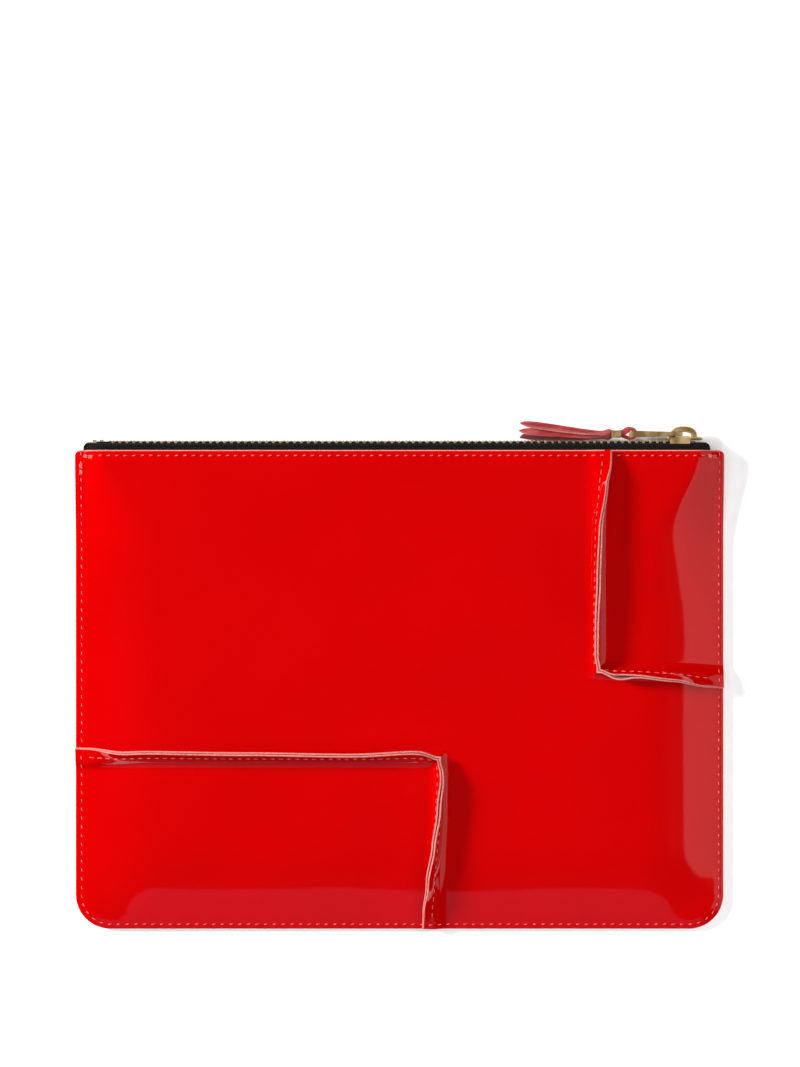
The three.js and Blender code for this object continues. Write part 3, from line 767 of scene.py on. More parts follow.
# The front wall is held to the back wall outside the first x and quite free inside the second one.
LEFT_HOLD, LEFT_FREE = -84, -30
RIGHT_HOLD, RIGHT_FREE = 99, 45


def stand_in(obj, body, slot, *nodes):
    """Says which body a piece rides on and which nodes it stands for. slot, the finish it would take, is not
    used.
    """
    if nodes:
        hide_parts(*nodes)
    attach(obj, body)
    return obj


def stand_in_front(obj, slot, *nodes):
    """For soft pieces of the front wall, which is sewn at both sides and bows open between them: hides the
    nodes and bakes the piece's place into its mesh.

    It works out a weight for each point, 0 from the open slider's place leftwards and at the right seam and 1
    over the middle of the mouth, but nothing uses the weights.
    """
    if nodes:
        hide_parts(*nodes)
    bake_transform(obj)
    points = np.empty(len(obj.data.vertices) * 3)
    obj.data.vertices.foreach_get("co", points)
    x = points.reshape(-1, 3)[:, 0] / MM
    weights = smooth((x - LEFT_HOLD) / (LEFT_FREE - LEFT_HOLD))
    weights *= smooth((x - RIGHT_HOLD) / (RIGHT_FREE - RIGHT_HOLD))
    return obj


def rounded_copy(node, name, bevel, material):
    """A CAD node's shape with its edges rounded."""
    source = bpy.data.objects[node] if node in bpy.data.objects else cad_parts[node]
    obj = add_object(name, source.data.copy())
    tidy_planes(obj)
    add_bevel(obj, bevel)
    mesh = obj.data
    mesh.materials.clear()
    mesh.materials.append(material)
    mesh.polygons.foreach_set("use_smooth", [True] * len(mesh.polygons))
    mesh.set_sharp_from_angle(angle=math.radians(40))
    return obj


def tidy_planes(obj):
    """Joins coplanar triangles into whole faces, so that a bevel runs evenly."""
    modifier = obj.modifiers.new("planes", "DECIMATE")
    modifier.decimate_type = "DISSOLVE"
    modifier.angle_limit = math.radians(1)
    apply_modifiers(obj)


# -------- leather walls

def make_back_panel():
    """One sheet that lies flat, with a groove under its stitching and rounded edges."""
    xs = grid_lines(-HALF_W + RIM_LINES, HALF_W - RIM_LINES, step=6)
    ys = grid_lines(-HALF_H + RIM_LINES, HALF_H - RIM_LINES, step=6)

    def outer(x, y):
        inset = edge_inset(x, y)
        groove = 0.28 * bell(inset - SIDE_STITCH, 0.5)
        return groove + 0.25 * (1 - smooth(inset / 0.5)) + 0.02 * (1 + np.sin(x / 19) * np.cos(y / 23))

    def inner(x, y):
        return LEATHER - 0.2 * (1 - smooth(edge_inset(x, y) / 0.5))

    return slab("back_panel_leather", xs, ys, inner, outer, LEATHER_SET, slots=(FLESH, RAW, PATENT))


LINING_INSET = 8  # from the pouch's sides
LINING_THICK = 0.4


def lining_grid(step):
    """Grid lines for a lining, and the rounding of its lower corners."""
    high_x = HALF_W - LINING_INSET
    low_y, high_y = LINING_BOX[0][1], LINING_BOX[1][1]
    radius = 4
    xs, ys = (
        fill(np.array([low, low + 1, low + radius, high - radius, high - 1, high]), step)
        for low, high in ((-high_x, high_x), (low_y, high_y))
    )

    def shape(x, y):
        u = clamp01((np.abs(x) - (high_x - radius)) / radius)
        v = clamp01((low_y + radius - y) / radius)
        corner = (u > 0) & (v > 0)
        new_x = np.sign(x) * (high_x - radius + radius * u * np.sqrt(1 - v * v / 2))
        new_y = low_y + radius - radius * v * np.sqrt(1 - u * u / 2)
        return np.where(corner, new_x, x), np.where(corner, new_y, y)

    return xs, ys, shape


def make_linings():
    xs, ys, shape = lining_grid(4)

    def wrinkle(x, y):
        return 0.08 * np.sin(x / 9 + y / 14) * np.cos(y / 11)

    def front_top(x, y):
        return plain_height(x, y) - LEATHER - 0.45 + wrinkle(x, y)

    def front_low(x, y):
        return front_top(x, y) - LINING_THICK

    def back_low(x, y):
        return LEATHER + 0.25 + 0.5 * np.abs(wrinkle(x, y))

    def back_top(x, y):
        return back_low(x, y) + LINING_THICK

    return (
        slab("front_lining_cloth", xs, ys, front_top, front_low, (LINING,), (0, 0, 0), shape),
        slab("back_lining_cloth", xs, ys, back_top, back_low, (LINING,), (0, 0, 0), shape),
    )


# -------- stitching

class Cover:
    """The topmost leather surface, met by a straight look along one axis."""

    def __init__(self, objects, direction):
        points, faces = [], []
        for obj in objects:
            first = len(points)
            points.extend(v.co / MM for v in obj.data.vertices)
            faces.extend([first + i for i in p.vertices] for p in obj.data.polygons)
        self.tree = BVHTree.FromPolygons(points, faces)
        self.direction = Vector(direction)

    def touch(self, x, y):
        """The surface point over or under (x, y), and its normal against the look."""
        start = Vector((x, y, 0)) - self.direction * 40
        point, normal, _, _ = self.tree.ray_cast(start, self.direction)
        if point is None:
            return None
        return point, normal if normal.dot(self.direction) < 0 else -normal


# A stitch's bow: share of its length, lift of its middle in strand radii of 0.21, and share of its radius.
STITCH_BOW = (
    (0, -0.3, 0.55), (0.12, 0.06, 0.8), (0.35, 0.2, 1), (0.65, 0.2, 1), (0.88, 0.06, 0.8), (1, -0.3, 0.55),
)
HOLE_LENGTH, HOLE_WIDTH = 0.24, 0.2  # half of each


def add_stitch(mesh, a, b, normal, radius):
    """A bowed stitch between two points, with a thin dark disc at each of them: painted shade where the
    hole's recess would be dark.
    """
    along = (b - a).normalized()
    side = along.cross(normal).normalized()
    rings = []
    for t, lift, size in STITCH_BOW:
        centre = a.lerp(b, t) + normal * (lift * radius / 0.21)
        r = radius * size
        ring = []
        for k in range(7):
            angle = 2 * math.pi * k / 7
            ring.append(centre + side * (r * math.cos(angle)) + normal * (r * 0.85 * math.sin(angle)))
        rings.append(ring)
    mesh.loft(rings, 0)
    # The discs are painted shade for the holes, which are not cut through.
    for spot in (a, b):
        corners = []
        for k in range(8):
            angle = 2 * math.pi * k / 8
            rim = along * (HOLE_LENGTH * math.cos(angle)) + side * (HOLE_WIDTH * math.sin(angle))
            corners.append(spot + rim + normal * 0.03)
        apex = spot + normal * 0.05
        first = mesh.add_points(corners + [apex])
        for k in range(8):
            mesh.add_face((first + k, first + (k + 1) % 8, first + 8), 1)


def walk(path, spacing):
    """Points at even spacing along a polyline in X and Y, with the direction there."""
    spans = [math.dist(a, b) for a, b in zip(path, path[1:])]
    total = sum(spans)
    count = round(total / spacing)
    result = []
    travelled, k = 0.0, 0
    for i in range(count + 1):
        at = total * i / count
        while k < len(spans) - 1 and travelled + spans[k] < at:
            travelled += spans[k]
            k += 1
        t = (at - travelled) / spans[k]
        (x0, y0), (x1, y1) = path[k], path[k + 1]
        result.append((x0 + (x1 - x0) * t, y0 + (y1 - y0) * t, (x1 - x0) / spans[k], (y1 - y0) / spans[k]))
    return result


def stitch_on(mesh, cover, start, end, radius):
    """One stitch between the surface points at two places in X and Y, if both lie on the cover."""
    ends = [cover.touch(*spot) for spot in (start, end)]
    if None not in ends:
        (a, na), (b, nb) = ends
        add_stitch(mesh, a, b, (na + nb).normalized(), radius)


def sew(mesh, cover, path, pitch, slant):
    """Stitches along a path over a cover. slant turns each one a little off the line."""
    half = pitch * STITCH_SHARE / 2
    for x, y, ux, uy in walk(path, pitch):
        dx, dy = half * (ux - uy * slant), half * (uy + ux * slant)
        stitch_on(mesh, cover, (x - dx, y - dy), (x + dx, y + dy), STITCH_RADIUS)


def perimeter_path(left, bottom, right, top):
    """Down the left side, round the bottom and up the right side, at these insets."""
    low = -HALF_H + bottom
    high = HALF_H - top
    path = [(-HALF_W + left, high), (-HALF_W + left, -HALF_H + BOTTOM_RADIUS)]
    turn_x = HALF_W - BOTTOM_RADIUS
    for centre_x, inset, start in ((-turn_x, left, 180), (turn_x, right, 270)):
        for k in range(10):
            angle = math.radians(start + 90 * k / 9)
            reach_x = BOTTOM_RADIUS - inset
            reach_y = BOTTOM_RADIUS - bottom
            path.append((centre_x + reach_x * math.cos(angle), low + reach_y + reach_y * math.sin(angle)))
    path.append((HALF_W - right, high))
    return [path[0]] + [q for p, q in zip(path, path[1:]) if math.dist(p, q) > 1e-3]


def back_tack(mesh, cover, start, end):
    """The doubled stitches that lock a row."""
    (ax, ay), (bx, by) = start, end
    length = math.dist(start, end)
    for shift in (-TACK_SHIFT, TACK_SHIFT):
        nx, ny = -(by - ay) / length * shift, (bx - ax) / length * shift
        for ends in ((0.03, 0.47), (0.53, 0.97)):
            spots = [(ax + (bx - ax) * t + nx, ay + (by - ay) * t + ny) for t in ends]
            stitch_on(mesh, cover, *spots, TACK_RADIUS)


def make_threads(front_cover, back_cover):
    """The stitching round three sides and along the mouth, on the front and then on the back."""
    left_x, mouth_y = -HALF_W + LEFT_STITCH, HALF_H - TOP_STITCH
    side_path = perimeter_path(LEFT_STITCH, SIDE_STITCH, SIDE_STITCH, 1.2)
    mouth_path = [(-HALF_W + 5.6, mouth_y), (HALF_W - 4.2, mouth_y)]
    side_tacks = [((left_x, HALF_H - 4), (left_x, HALF_H - 8))]
    mouth_tacks = [
        ((-HALF_W + 2.7, mouth_y), (-HALF_W + 6, mouth_y - 0.5)),
        ((HALF_W - 5.5, mouth_y), (HALF_W - 2.2, mouth_y - 0.3)),
    ]
    threads = []
    for name, cover, path, pitch, slant, tacks in (
        ("perimeter_stitches_front", front_cover, side_path, STITCH_PITCH, 0.2, side_tacks),
        ("mouth_stitches_front", front_cover, mouth_path, MOUTH_PITCH, 0.16, mouth_tacks),
        ("perimeter_stitches_back", back_cover, side_path, STITCH_PITCH, -0.1, ()),
        ("mouth_stitches_back", back_cover, mouth_path, MOUTH_PITCH, -0.1, ()),
    ):
        mesh = Mesh()
        sew(mesh, cover, path, pitch, slant)
        for start, end in tacks:
            back_tack(mesh, cover, start, end)
        threads.append(mesh.make(name, (THREAD, HOLE_SHADE)))
    return threads


def make_seam_thread(name, seam):
    """Stitches on both sides of a raised seam, near the top of its fillet."""
    mesh = Mesh()
    below = max(0.0, FILLET - SEAM_STITCH_HEIGHT)
    fillet_side = FILLET - math.sqrt(FILLET ** 2 - below ** 2)
    for leg in (0, 1):
        count = int((seam.lengths[leg] - 4) / SEAM_STITCH_PITCH)
        for face in (-1, 1):
            for k in range(count):
                start = 2.2 + k * SEAM_STITCH_PITCH
                spots = []
                for along in (start, start + SEAM_STITCH_PITCH * SEAM_STITCH_SHARE):
                    for proud in (0, 0.3):
                        across = face * (FACE + fillet_side + proud)
                        a, b = (-along, across) if leg == 0 else (across, -along)
                        x, y = (np.array([v]) for v in seam.plan(a, b))
                        base = front_height(x, y)
                        x, y, level = seam.place(x, y, np.array([SEAM_STITCH_HEIGHT + proud * 0.6]))
                        spots.append(Vector((x[0], y[0], (base + level)[0])))
                p, p_out, q, q_out = spots
                normal = ((p_out - p) + (q_out - q)).normalized()
                add_stitch(mesh, p, q, normal, SEAM_STITCH_RADIUS)
    return mesh.make(name, (THREAD, HOLE_SHADE))


# -------- zip

TAPE_THICK = 0.5
TAPE_FOOT_Y = 66.0  # the tape's sewn edge, inside the pouch


def ribbon_sheet(name, xs, sections, thickness, material):
    """A closed strip: for an x, sections gives its upper face's (y, z) points from its foot to its edge."""
    mesh = Mesh()
    rings = []
    for x in xs:
        outline = sections(x)
        under = []
        for k, (y, z) in enumerate(outline):
            (y0, z0), (y1, z1) = outline[max(k - 1, 0)], outline[min(k + 1, len(outline) - 1)]
            length = math.hypot(y1 - y0, z1 - z0)
            under.append((y + (z1 - z0) / length * thickness, z - (y1 - y0) / length * thickness))
        rings.append([(x, y, z) for y, z in outline] + [(x, y, z) for y, z in reversed(under)])
    mesh.loft(rings)
    return mesh.make(name, (material,), sharp_degrees=60)


def make_tapes():
    left, right = TAPE_BOX[0][0], TAPE_BOX[1][0]
    end_lines = np.array([0, 0.1, 0.4, 0.9, 1.4])
    xs = grid_lines(left + end_lines, right - end_lines, step=1.1)

    def edge(x):
        """The y of the tape's edge, which is drawn in over its rounded ends."""
        to_end = min(x - left, right - x) / 1.3
        fade = math.sqrt(max(0.0, 1 - max(0.0, 1 - to_end) ** 2))
        return mix(HALF_H + 0.5, TAPE_BOX[1][1], fade)

    def lining_side(x, y):
        """The height just under the leather."""
        return float(plain_height(np.array([x]), np.array([y]))[0]) - LEATHER - 0.3

    def front(x):
        """From under the leather, over the bend and down to the chain."""
        at_mouth = max(lining_side(x, HALF_H), CHAIN_Z + 0.2)
        foot = lining_side(x, TAPE_FOOT_Y)
        reach = edge(x)
        ripple = 0.05 * math.sin(x * 2.9)
        low = min(at_mouth, CHAIN_Z + 1.9)
        return [
            (TAPE_FOOT_Y, foot), (TAPE_FOOT_Y + 5, mix(foot, at_mouth, 0.5)), (HALF_H - 0.6, at_mouth),
            (mix(HALF_H, reach, 0.45), at_mouth + 0.12 + ripple), (mix(HALF_H, reach, 0.8), at_mouth - 0.1),
            (reach, mix(at_mouth, low, 0.45)), (reach - 0.05, low),
        ]

    def back(x):
        reach = edge(x)
        level = LEATHER + 0.25 + TAPE_THICK
        return [
            (TAPE_FOOT_Y, level), (HALF_H, level), (mix(HALF_H, reach, 0.6), level),
            (reach - 0.3, level + 0.12), (reach, level + 0.5),
        ]

    return (
        ribbon_sheet("zip_tape_front_cloth", xs, front, TAPE_THICK, TAPE),
        ribbon_sheet("zip_tape_back_cloth", xs, back, TAPE_THICK, TAPE),
    )


CORD_Y, CORD_OFFSET, CORD_RADIUS = 77.95, 1.75, 0.5
# A tooth from its legs to its head: distance from the chain's middle towards its own tape, half width, lowest
# and highest y.
TOOTH_SECTIONS = (
    (2.25, 0.34, 76.9, 78.35), (2.1, 0.44, 76.75, 78.55), (1.3, 0.46, 76.7, 78.75),
    (0.75, 0.42, 76.8, 78.8), (0.35, 0.28, 77.0, 78.7), (-0.1, 0.27, 77.0, 78.65),
    (-0.5, 0.37, 76.95, 78.75), (-1.0, 0.4, 76.95, 78.75), (-1.25, 0.26, 77.2, 78.5),
)


def make_tooth_row(name, side):
    """Clamped brass teeth: legs over the tape's cord, a narrow neck and a head between the other row's."""
    mesh = Mesh()
    for i in range(TOOTH_COUNT):
        centre = FIRST_TOOTH + i * TOOTH_PITCH + (TOOTH_PITCH / 2 if side > 0 else 0)
        rings = []
        for offset, half, low, high in TOOTH_SECTIONS:
            z = CHAIN_Z + side * offset
            cut = half * 0.45
            rings.append([
                (centre - half, low + cut, z), (centre - half + cut, low, z), (centre + half - cut, low, z),
                (centre + half, low + cut, z), (centre + half, high - cut, z), (centre + half - cut, high, z),
                (centre - half + cut, high, z), (centre - half, high - cut, z),
            ])
        mesh.loft(rings if side < 0 else rings[::-1])
    left, right = FIRST_TOOTH - 4, FIRST_TOOTH + TOOTH_COUNT * TOOTH_PITCH + 2
    cord = [(x, CORD_Y, CHAIN_Z + side * CORD_OFFSET) for x in fill(np.array([left, right]), 1.1)]
    sweep(mesh, cord, round_section(CORD_RADIUS, 8), slot=1)
    return mesh.make(name, (TOOTH_BRASS, TAPE), sharp_degrees=50)


# -------- slider and link

def plate_outline(left, right, narrow, wide):
    """The slider's plate seen along Y, as (x, distance from the chain's middle): a round nose and a waist."""
    points = []
    for k in range(9):
        angle = math.radians(90 + 180 * k / 8)
        points.append((left + narrow * 0.8 + narrow * 0.8 * math.cos(angle), narrow * math.sin(angle)))
    shoulder = right - 3.2
    for t in (0.3, 0.7, 1.0):
        points.append((mix(left + narrow, shoulder, t), -mix(narrow, wide, smooth(t))))
    points.extend([(right - 0.9, -wide), (right, -wide * 0.55), (right - 0.7, 0)])
    points.extend((x, -v) for x, v in reversed(points[9:14]))
    return points


def add_plate(mesh, left, right, narrow, wide, low, high):
    """A plate across Y with a chamfered rim."""
    outline = plate_outline(left, right, narrow, wide)
    centre_x = (left + right) / 2
    rings = []
    for y, shrink in ((low, 0.9), (low + 0.2, 1.0), (high - 0.25, 1.0), (high, 0.9)):
        rings.append([(centre_x + (x - centre_x) * shrink, y, CHAIN_Z + v * shrink) for x, v in outline])
    mesh.loft(rings)


def make_slider():
    """The outer plate with its two flanges and its rib, the inner plate, and the arch."""
    left, right = PLATE_BOX[0][0], PLATE_BOX[1][0]
    narrow, wide = 2.7, PLATE_BOX[1][2] - CHAIN_Z
    face, top = PLATE_BOX[0][1], PLATE_BOX[1][1]
    outer = Mesh()
    add_plate(outer, left, right, narrow, wide, face, top)
    for side in (-1, 1):
        lip = [CHAIN_Z + side * v for v in (wide - 0.75, wide)]
        block(outer, (left + 0.6, face - 1.25, min(lip)), (left + 6.9, face + 0.3, max(lip)))
    block(outer, (left + 0.5, top - 0.2, CHAIN_Z - 1.2), (left + 6.9, top + 0.22, CHAIN_Z + 1.2))
    outer_piece = outer.make("slider_outer_plate", (BRASS,))
    add_bevel(outer_piece, 0.16)

    low, high = INNER_PLATE_BOX[0][1], INNER_PLATE_BOX[1][1]
    inner = Mesh()
    add_plate(inner, left + 0.2, right - 0.3, narrow - 0.9, INNER_PLATE_BOX[1][2] - CHAIN_Z, low, high)
    inner_piece = inner.make("slider_inner_plate", (BRASS,))
    add_bevel(inner_piece, 0.12)

    crown = Mesh()
    x0, x1 = CROWN_BOX[0][0], CROWN_BOX[1][0]
    foot, crest = CROWN_BOX[0][1], CROWN_BOX[1][1]
    band = 1.5
    squareness = 0.82
    middle, reach, height = (x0 + x1) / 2, (x1 - x0 - band) / 2, crest - band / 2 - foot
    path = [(x0 + band / 2, foot - 0.25, CHAIN_Z)]
    for k in range(21):
        angle = math.pi - math.pi * k / 20
        across = math.copysign(abs(math.cos(angle)) ** squareness, math.cos(angle))
        path.append((middle + reach * across, foot + height * math.sin(angle) ** squareness, CHAIN_Z))
    path.append((x1 - band / 2, foot - 0.25, CHAIN_Z))
    half = (CROWN_BOX[1][2] - CROWN_BOX[0][2]) / 2
    section = [
        (half, band * 0.22), (half, -band * 0.22), (half * 0.7, -band * 0.42), (-half * 0.7, -band * 0.42),
        (-half, -band * 0.22), (-half, band * 0.22), (-half * 0.7, band * 0.5), (half * 0.7, band * 0.5),
    ]
    sweep(crown, path, section)
    return outer_piece, inner_piece, crown.make("slider_arch", (BRASS,))


def make_link():
    """A long ring of flat wire, seen on edge from the front, with a fuller end where the thong hangs."""
    (x0, y0, z0), (x1, y1, z1) = LINK_BOX
    middle_y = (y0 + y1) / 2
    wire = 0.9
    corner = 0.9
    inset = wire / 2 + corner
    path = []
    for cx, cz, start in (
        (x1 - inset, z0 + inset, -90), (x1 - inset, z1 - inset, 0), (x0 + inset, z1 - inset, 90),
        (x0 + inset, z0 + inset, 180),
    ):
        for k in range(7):
            angle = math.radians(start + 90 * k / 6)
            path.append((cx + corner * math.cos(angle), middle_y, cz + corner * math.sin(angle)))
    scale = []
    for x, _, _ in path:
        near_eye = bell(x - x0 - 0.8, 1.3)
        scale.append((1 + 0.15 * near_eye, 1 + 0.9 * near_eye))
    mesh = Mesh()
    section = [
        (wire * 0.5, 0.3), (wire * 0.5, 0.1), (wire * 0.36, 0.0), (wire * 0.5, -0.1), (wire * 0.5, -0.3),
        (wire * 0.3, -0.58), (-wire * 0.3, -0.58), (-wire * 0.5, -0.3), (-wire * 0.5, 0.3),
        (-wire * 0.3, 0.58), (wire * 0.3, 0.58),
    ]
    sweep(mesh, path, section, closed=True, up=(0, 1, 0), scale=scale)
    return mesh.make("pull_link_ring", (BRASS,), sharp_degrees=50)


# -------- tassel

def curve_through(points, count):
    """A smooth Catmull-Rom curve through points, with every value of a point carried along."""
    points = [np.array(p, float) for p in points]
    padded = [2 * points[0] - points[1], *points, 2 * points[-1] - points[-2]]
    result = []
    for k in range(count):
        at = (len(points) - 1) * k / (count - 1)
        i = min(int(at), len(points) - 2)
        t = at - i
        a, b, c, d = padded[i : i + 4]
        bend = 2 * a - 5 * b + 4 * c - d
        twist = 3 * b - a - 3 * c + d
        result.append(0.5 * (2 * b + (c - a) * t + bend * t * t + twist * t ** 3))
    return result


STRAND_THICK = 0.8
# Each strand from the ferrule to its tip: x, y, z, width, degrees of turn about its length, and its fold.
STRANDS = (
    (
        (67.4, 81.2, 5.2, 0.8, 0, 0.0), (66.1, 81.6, 5.5, 1.4, 15, 0.2), (64.0, 81.1, 5.6, 1.4, 40, 0.5),
        (60.0, 81.3, 5.7, 1.9, 45, 0.6), (54.0, 82.0, 5.5, 2.3, 42, 0.5), (47.0, 83.0, 5.0, 2.5, 38, 0.5),
        (41.5, 83.8, 4.6, 2.2, 36, 0.4), (39.2, 84.15, 4.4, 1.2, 34, 0.2), (38.1, 84.3, 4.3, 0.25, 30, 0.0),
    ),
    (
        (67.4, 80.8, 4.5, 0.9, -10, 0.0), (66.1, 80.6, 4.7, 1.5, -20, 0.3), (64.0, 80.4, 4.8, 1.3, -30, 0.5),
        (60.0, 80.4, 4.9, 1.8, -20, 0.6), (54.0, 80.8, 4.7, 2.3, 0, 0.6), (47.0, 81.3, 4.2, 2.5, 20, 0.5),
        (41.5, 81.6, 3.7, 2.3, 32, 0.4), (39.2, 81.8, 3.4, 1.4, 34, 0.2), (37.8, 81.9, 3.3, 0.25, 30, 0.0),
    ),
    (
        (67.4, 80.4, 3.8, 0.8, 190, 0.0), (66.1, 79.7, 3.6, 1.3, 190, 0.2), (64.0, 79.9, 3.6, 1.3, 180, 0.2),
        (60.0, 80.1, 3.5, 1.9, 178, 0.1), (54.0, 80.2, 3.2, 2.5, 176, 0.1), (47.0, 80.4, 2.6, 2.8, 172, 0.15),
        (41.5, 80.4, 2.2, 2.6, 168, 0.2), (39.4, 80.2, 2.0, 1.6, 164, 0.2), (38.1, 79.8, 1.9, 0.3, 160, 0.0),
    ),
)


def make_strand(name, keys):
    """A thin leather strip, folded along its middle, grain on one face and flesh on the other."""
    mesh = Mesh()
    points = curve_through(keys, 46)
    path = [Vector(p[:3]) for p in points]
    rings = []
    for k, (centre, (width, turn, fold)) in enumerate(zip(path, (p[3:] for p in points))):
        forward = (path[min(k + 1, len(path) - 1)] - path[max(k - 1, 0)]).normalized()
        side = forward.cross(Vector((0, 0, 1))).normalized()
        over = side.cross(forward)
        turned = Matrix.Rotation(math.radians(turn), 3, forward)
        side, over = turned @ side, turned @ over
        half = width / 2
        thick = STRAND_THICK * min(1, 0.35 + half)
        upper, lower = [], []
        for s in (-1, -0.6, -0.2, 0.2, 0.6, 1):
            valley = -fold * half * (1 - abs(s))
            thin = 0.78 if abs(s) == 1 else 1
            upper.append(centre + side * (s * half) + over * (valley + thick / 2 * thin))
            lower.append(centre + side * (s * half) + over * (valley - thick / 2 * thin))
        rings.append(upper + lower[::-1])
    mesh.loft(rings, slots=[0, 0, 0, 0, 0, 2, 1, 1, 1, 1, 1, 2])
    return mesh.make(name, (TASSEL, TASSEL_BACK, RAW_EDGE), sharp_degrees=50)


def make_loop():
    """The thong: out of the ferrule, round the link's end with a half twist and back."""
    mesh = Mesh()
    middle_y = (LINK_BOX[0][1] + LINK_BOX[1][1]) / 2
    # x, then y from the link's middle and z from the chain's.
    keys = (
        (67.2, 0.35, 0.35), (69.4, 0.35, 0.4), (70.9, 0.65, 0.5), (72.2, 1.45, 0.5), (73.8, 1.45, 0.1),
        (74.6, 0.5, -0.1), (74.5, -0.4, -0.1), (73.7, -1.1, 0), (72.2, -1.2, 0.1), (70.9, -0.65, -0.2),
        (69.4, -0.35, -0.4), (67.2, -0.35, -0.35),
    )
    count = 60
    path = curve_through([(x, middle_y + y, CHAIN_Z + z) for x, y, z in keys], count)
    twist, scale = [], []
    for k in range(count):
        t = k / (count - 1)
        # The lower leg lies flat, clear of the teeth.
        most = 0.9 if t < 0.5 else 0.25
        twist.append(most * math.sin(2 * math.pi * t) + most * 0.33 * math.sin(4 * math.pi * t))
        scale.append((1, mix(0.75, 1.0, smooth(min(k, count - 1 - k) / 14))))
    # The strap's width lies along Z, so that it wraps the link's bar.
    half, thick = 0.95, 0.5
    section = [
        (thick * 0.6, half), (-thick * 0.6, half), (-thick, half * 0.7), (-thick, -half * 0.7),
        (-thick * 0.6, -half), (thick * 0.6, -half), (thick, -half * 0.7), (thick, half * 0.7),
    ]
    sweep(mesh, path, section, twist=twist, scale=scale)
    return mesh.make("tassel_thong", (TASSEL,), sharp_degrees=50)


def make_ferrule():
    """A folded brass band with a raised rim round its front face."""
    (x0, y0, z0), (x1, y1, z1) = FERRULE_BOX
    mesh = Mesh()
    wall = 0.3
    outer = [(y0, z0), (y1, z0), (y1, z1), (y0, z1)]
    inner = [(y0 + wall, z0 + wall), (y1 - wall, z0 + wall), (y1 - wall, z1 - wall), (y0 + wall, z1 - wall)]
    shapes = ((x0, outer), (x1, outer), (x1, inner), (x0, inner))
    mesh.loft([[(x, y, z) for y, z in shape] for x, shape in shapes], closed=True)
    rim = 0.42
    for left, low, right, high in (
        (x0, y1 - rim, x1, y1), (x0, y0, x1, y0 + rim), (x0, y0, x0 + rim, y1), (x1 - rim, y0, x1, y1),
    ):
        block(mesh, (left, low, z1 - 0.05), (right, high, z1 + 0.22))
    obj = mesh.make("tassel_band", (BRASS,))
    add_bevel(obj, 0.1)
    return obj


# -------- build

front_panels = make_front_panels(LEATHER_SET)
back_panel = make_back_panel()
front_cover = Cover(front_panels, (0, 0, -1))
back_cover = Cover((back_panel,), (0, 0, 1))
for piece, node in zip(front_panels, ("front_main_panel", "lower_left_panel", "upper_right_panel")):
    stand_in_front(piece, "red_leather", node)
stand_in(back_panel, "back_wall", "red_leather", "back_panel")

front_lining, back_lining = make_linings()
stand_in_front(front_lining, "lining", "front_lining")
stand_in(back_lining, "back_wall", "lining", "back_lining")
tape_front, tape_back = make_tapes()
stand_in_front(tape_front, "zip_tape", "zip_tape_front")
stand_in(tape_back, "back_wall", "zip_tape", "zip_tape_back")

side_front, mouth_front, side_back, mouth_back = make_threads(front_cover, back_cover)
stand_in_front(side_front, "thread", "perimeter_thread_front")
stand_in_front(mouth_front, "thread", "mouth_thread_front")
stand_in(side_back, "back_wall", "thread", "perimeter_thread_back")
stand_in(mouth_back, "back_wall", "thread", "mouth_thread_back")
for corner, seam in (("lower_left", LOWER_LEFT), ("upper_right", UPPER_RIGHT)):
    stand_in_front(make_seam_thread(f"{corner}_seam_stitches", seam), "thread", f"{corner}_seam_thread")

stand_in_front(make_tooth_row("zip_teeth_front_row", 1), "brass", "zip_teeth_front")
stand_in(make_tooth_row("zip_teeth_back_row", -1), "back_wall", "brass", "zip_teeth_back")
bottom_stop, top_stop_front, top_stop_back = (
    rounded_copy(node, name, 0.2, BRASS)
    for node, name in (
        ("zip_bottom_stop", "zip_bottom_staple"), ("zip_top_stop_front", "zip_top_clamp_front"),
        ("zip_top_stop_back", "zip_top_clamp_back"),
    )
)
stand_in(bottom_stop, "back_wall", "brass", "zip_bottom_stop")
stand_in_front(top_stop_front, "brass", "zip_top_stop_front")
stand_in(top_stop_back, "back_wall", "brass", "zip_top_stop_back")

for piece, node in zip(make_slider(), ("slider_top_plate", "slider_bottom_plate", "slider_crown")):
    stand_in(piece, "slider", "brass", node)
stand_in(make_link(), "pull", "brass", "pull_link")
stand_in(make_loop(), "tassel", "tassel_leather", "tassel_loop")
stand_in(make_ferrule(), "tassel", "brass", "tassel_ferrule")
for index, keys in enumerate(STRANDS, start=1):
    strand = make_strand(f"tassel_strip_{index}", keys)
    stand_in(strand, "tassel", "tassel_leather", f"tassel_strand_{index}")


# -------- studio

VIEW_WIDTH = 253.1  # seen by the camera at the height of the border
VIEW_CENTRE = (0.16, 49.4)
LENS = 140
SENSOR = 36


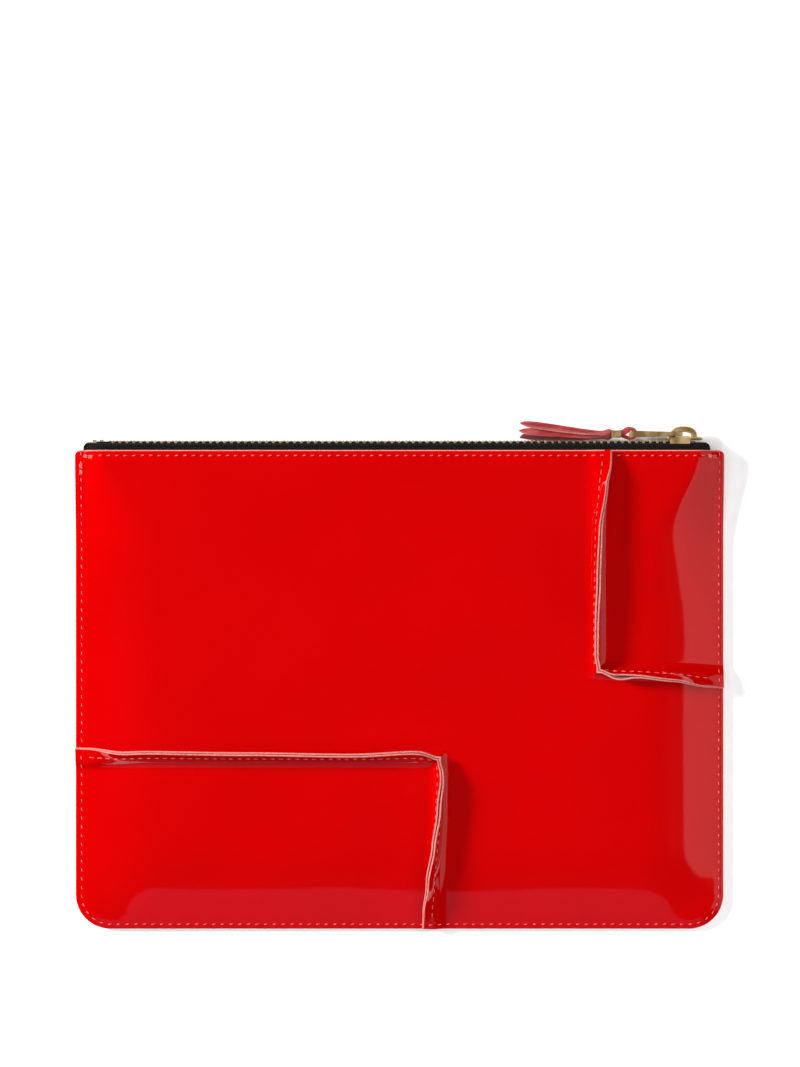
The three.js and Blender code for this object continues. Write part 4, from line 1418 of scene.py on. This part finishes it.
def make_camera():
    data = bpy.data.cameras.new("camera")
    data.lens = LENS
    data.sensor_width = SENSOR
    data.sensor_fit = "HORIZONTAL"
    camera = add_object("camera", data)
    distance = VIEW_WIDTH * LENS / SENSOR
    camera.location = (VIEW_CENTRE[0] * MM, VIEW_CENTRE[1] * MM, (MARGIN_Z + distance) * MM)
    bpy.context.scene.camera = camera


def softbox(name, azimuth, elevation, distance, size, radiance, in_gloss=True, colour=(1, 1, 1)):
    """A flat light that faces the pouch's middle. radiance is what a mirror would show of it."""
    azimuth, elevation = math.radians(azimuth), math.radians(elevation)
    data = bpy.data.lights.new(name, "AREA")
    data.shape = "RECTANGLE"
    data.size, data.size_y = (v * MM for v in size)
    data.energy = radiance * math.pi * data.size * data.size_y
    data.color = colour
    light = add_object(name, data)
    level = math.cos(elevation)
    place = Vector((math.cos(azimuth) * level, math.sin(azimuth) * level, math.sin(elevation)))
    light.location = place * (distance * MM)
    light.rotation_euler = place.to_track_quat("Z", "Y").to_euler()
    light.visible_glossy = in_gloss


def make_floor():
    mesh = bpy.data.meshes.new("floor")
    half = 3.0
    corners = [(-half, -half, 0), (half, -half, 0), (half, half, 0), (-half, half, 0)]
    mesh.from_pydata(corners, [], [(0, 1, 2, 3)])
    floor = add_object("floor", mesh)
    floor.location.z = -0.1 * MM
    look = Look("white_paper", Roughness=1.0, Specular_IOR_Level=0.0)
    stops = [(0.3, (0.93, 0.93, 0.93)), (0.7, (0.95, 0.95, 0.95))]
    look.feed("Base Color", look.ramp(look.noise(300), stops))
    mesh.materials.append(look.material)


def make_studio():
    bpy.context.scene.view_settings.view_transform = "Standard"
    world = bpy.data.worlds.new("studio")
    world.use_nodes = True
    world.node_tree.nodes["Background"].inputs["Color"].default_value = (0, 0, 0, 1)
    bpy.context.scene.world = world
    make_floor()
    softbox("key", 160, 26, 1400, (300, 300), 140, in_gloss=False)
    softbox("fill", 90, 89, 1500, (2000, 2000), 1.12, in_gloss=False)
    softbox("right_fill", 0, 50, 1300, (700, 700), 4.1, in_gloss=False)
    softbox("front_fill", -90, 50, 1300, (700, 700), 1.5, in_gloss=False)
    softbox("right_box", 0, 31, 900, (800, 880), 0.72)
    softbox("front_box", -90, 31, 900, (840, 880), 0.22, colour=(1.0, 0.8, 1.3))


make_camera()
make_studio()
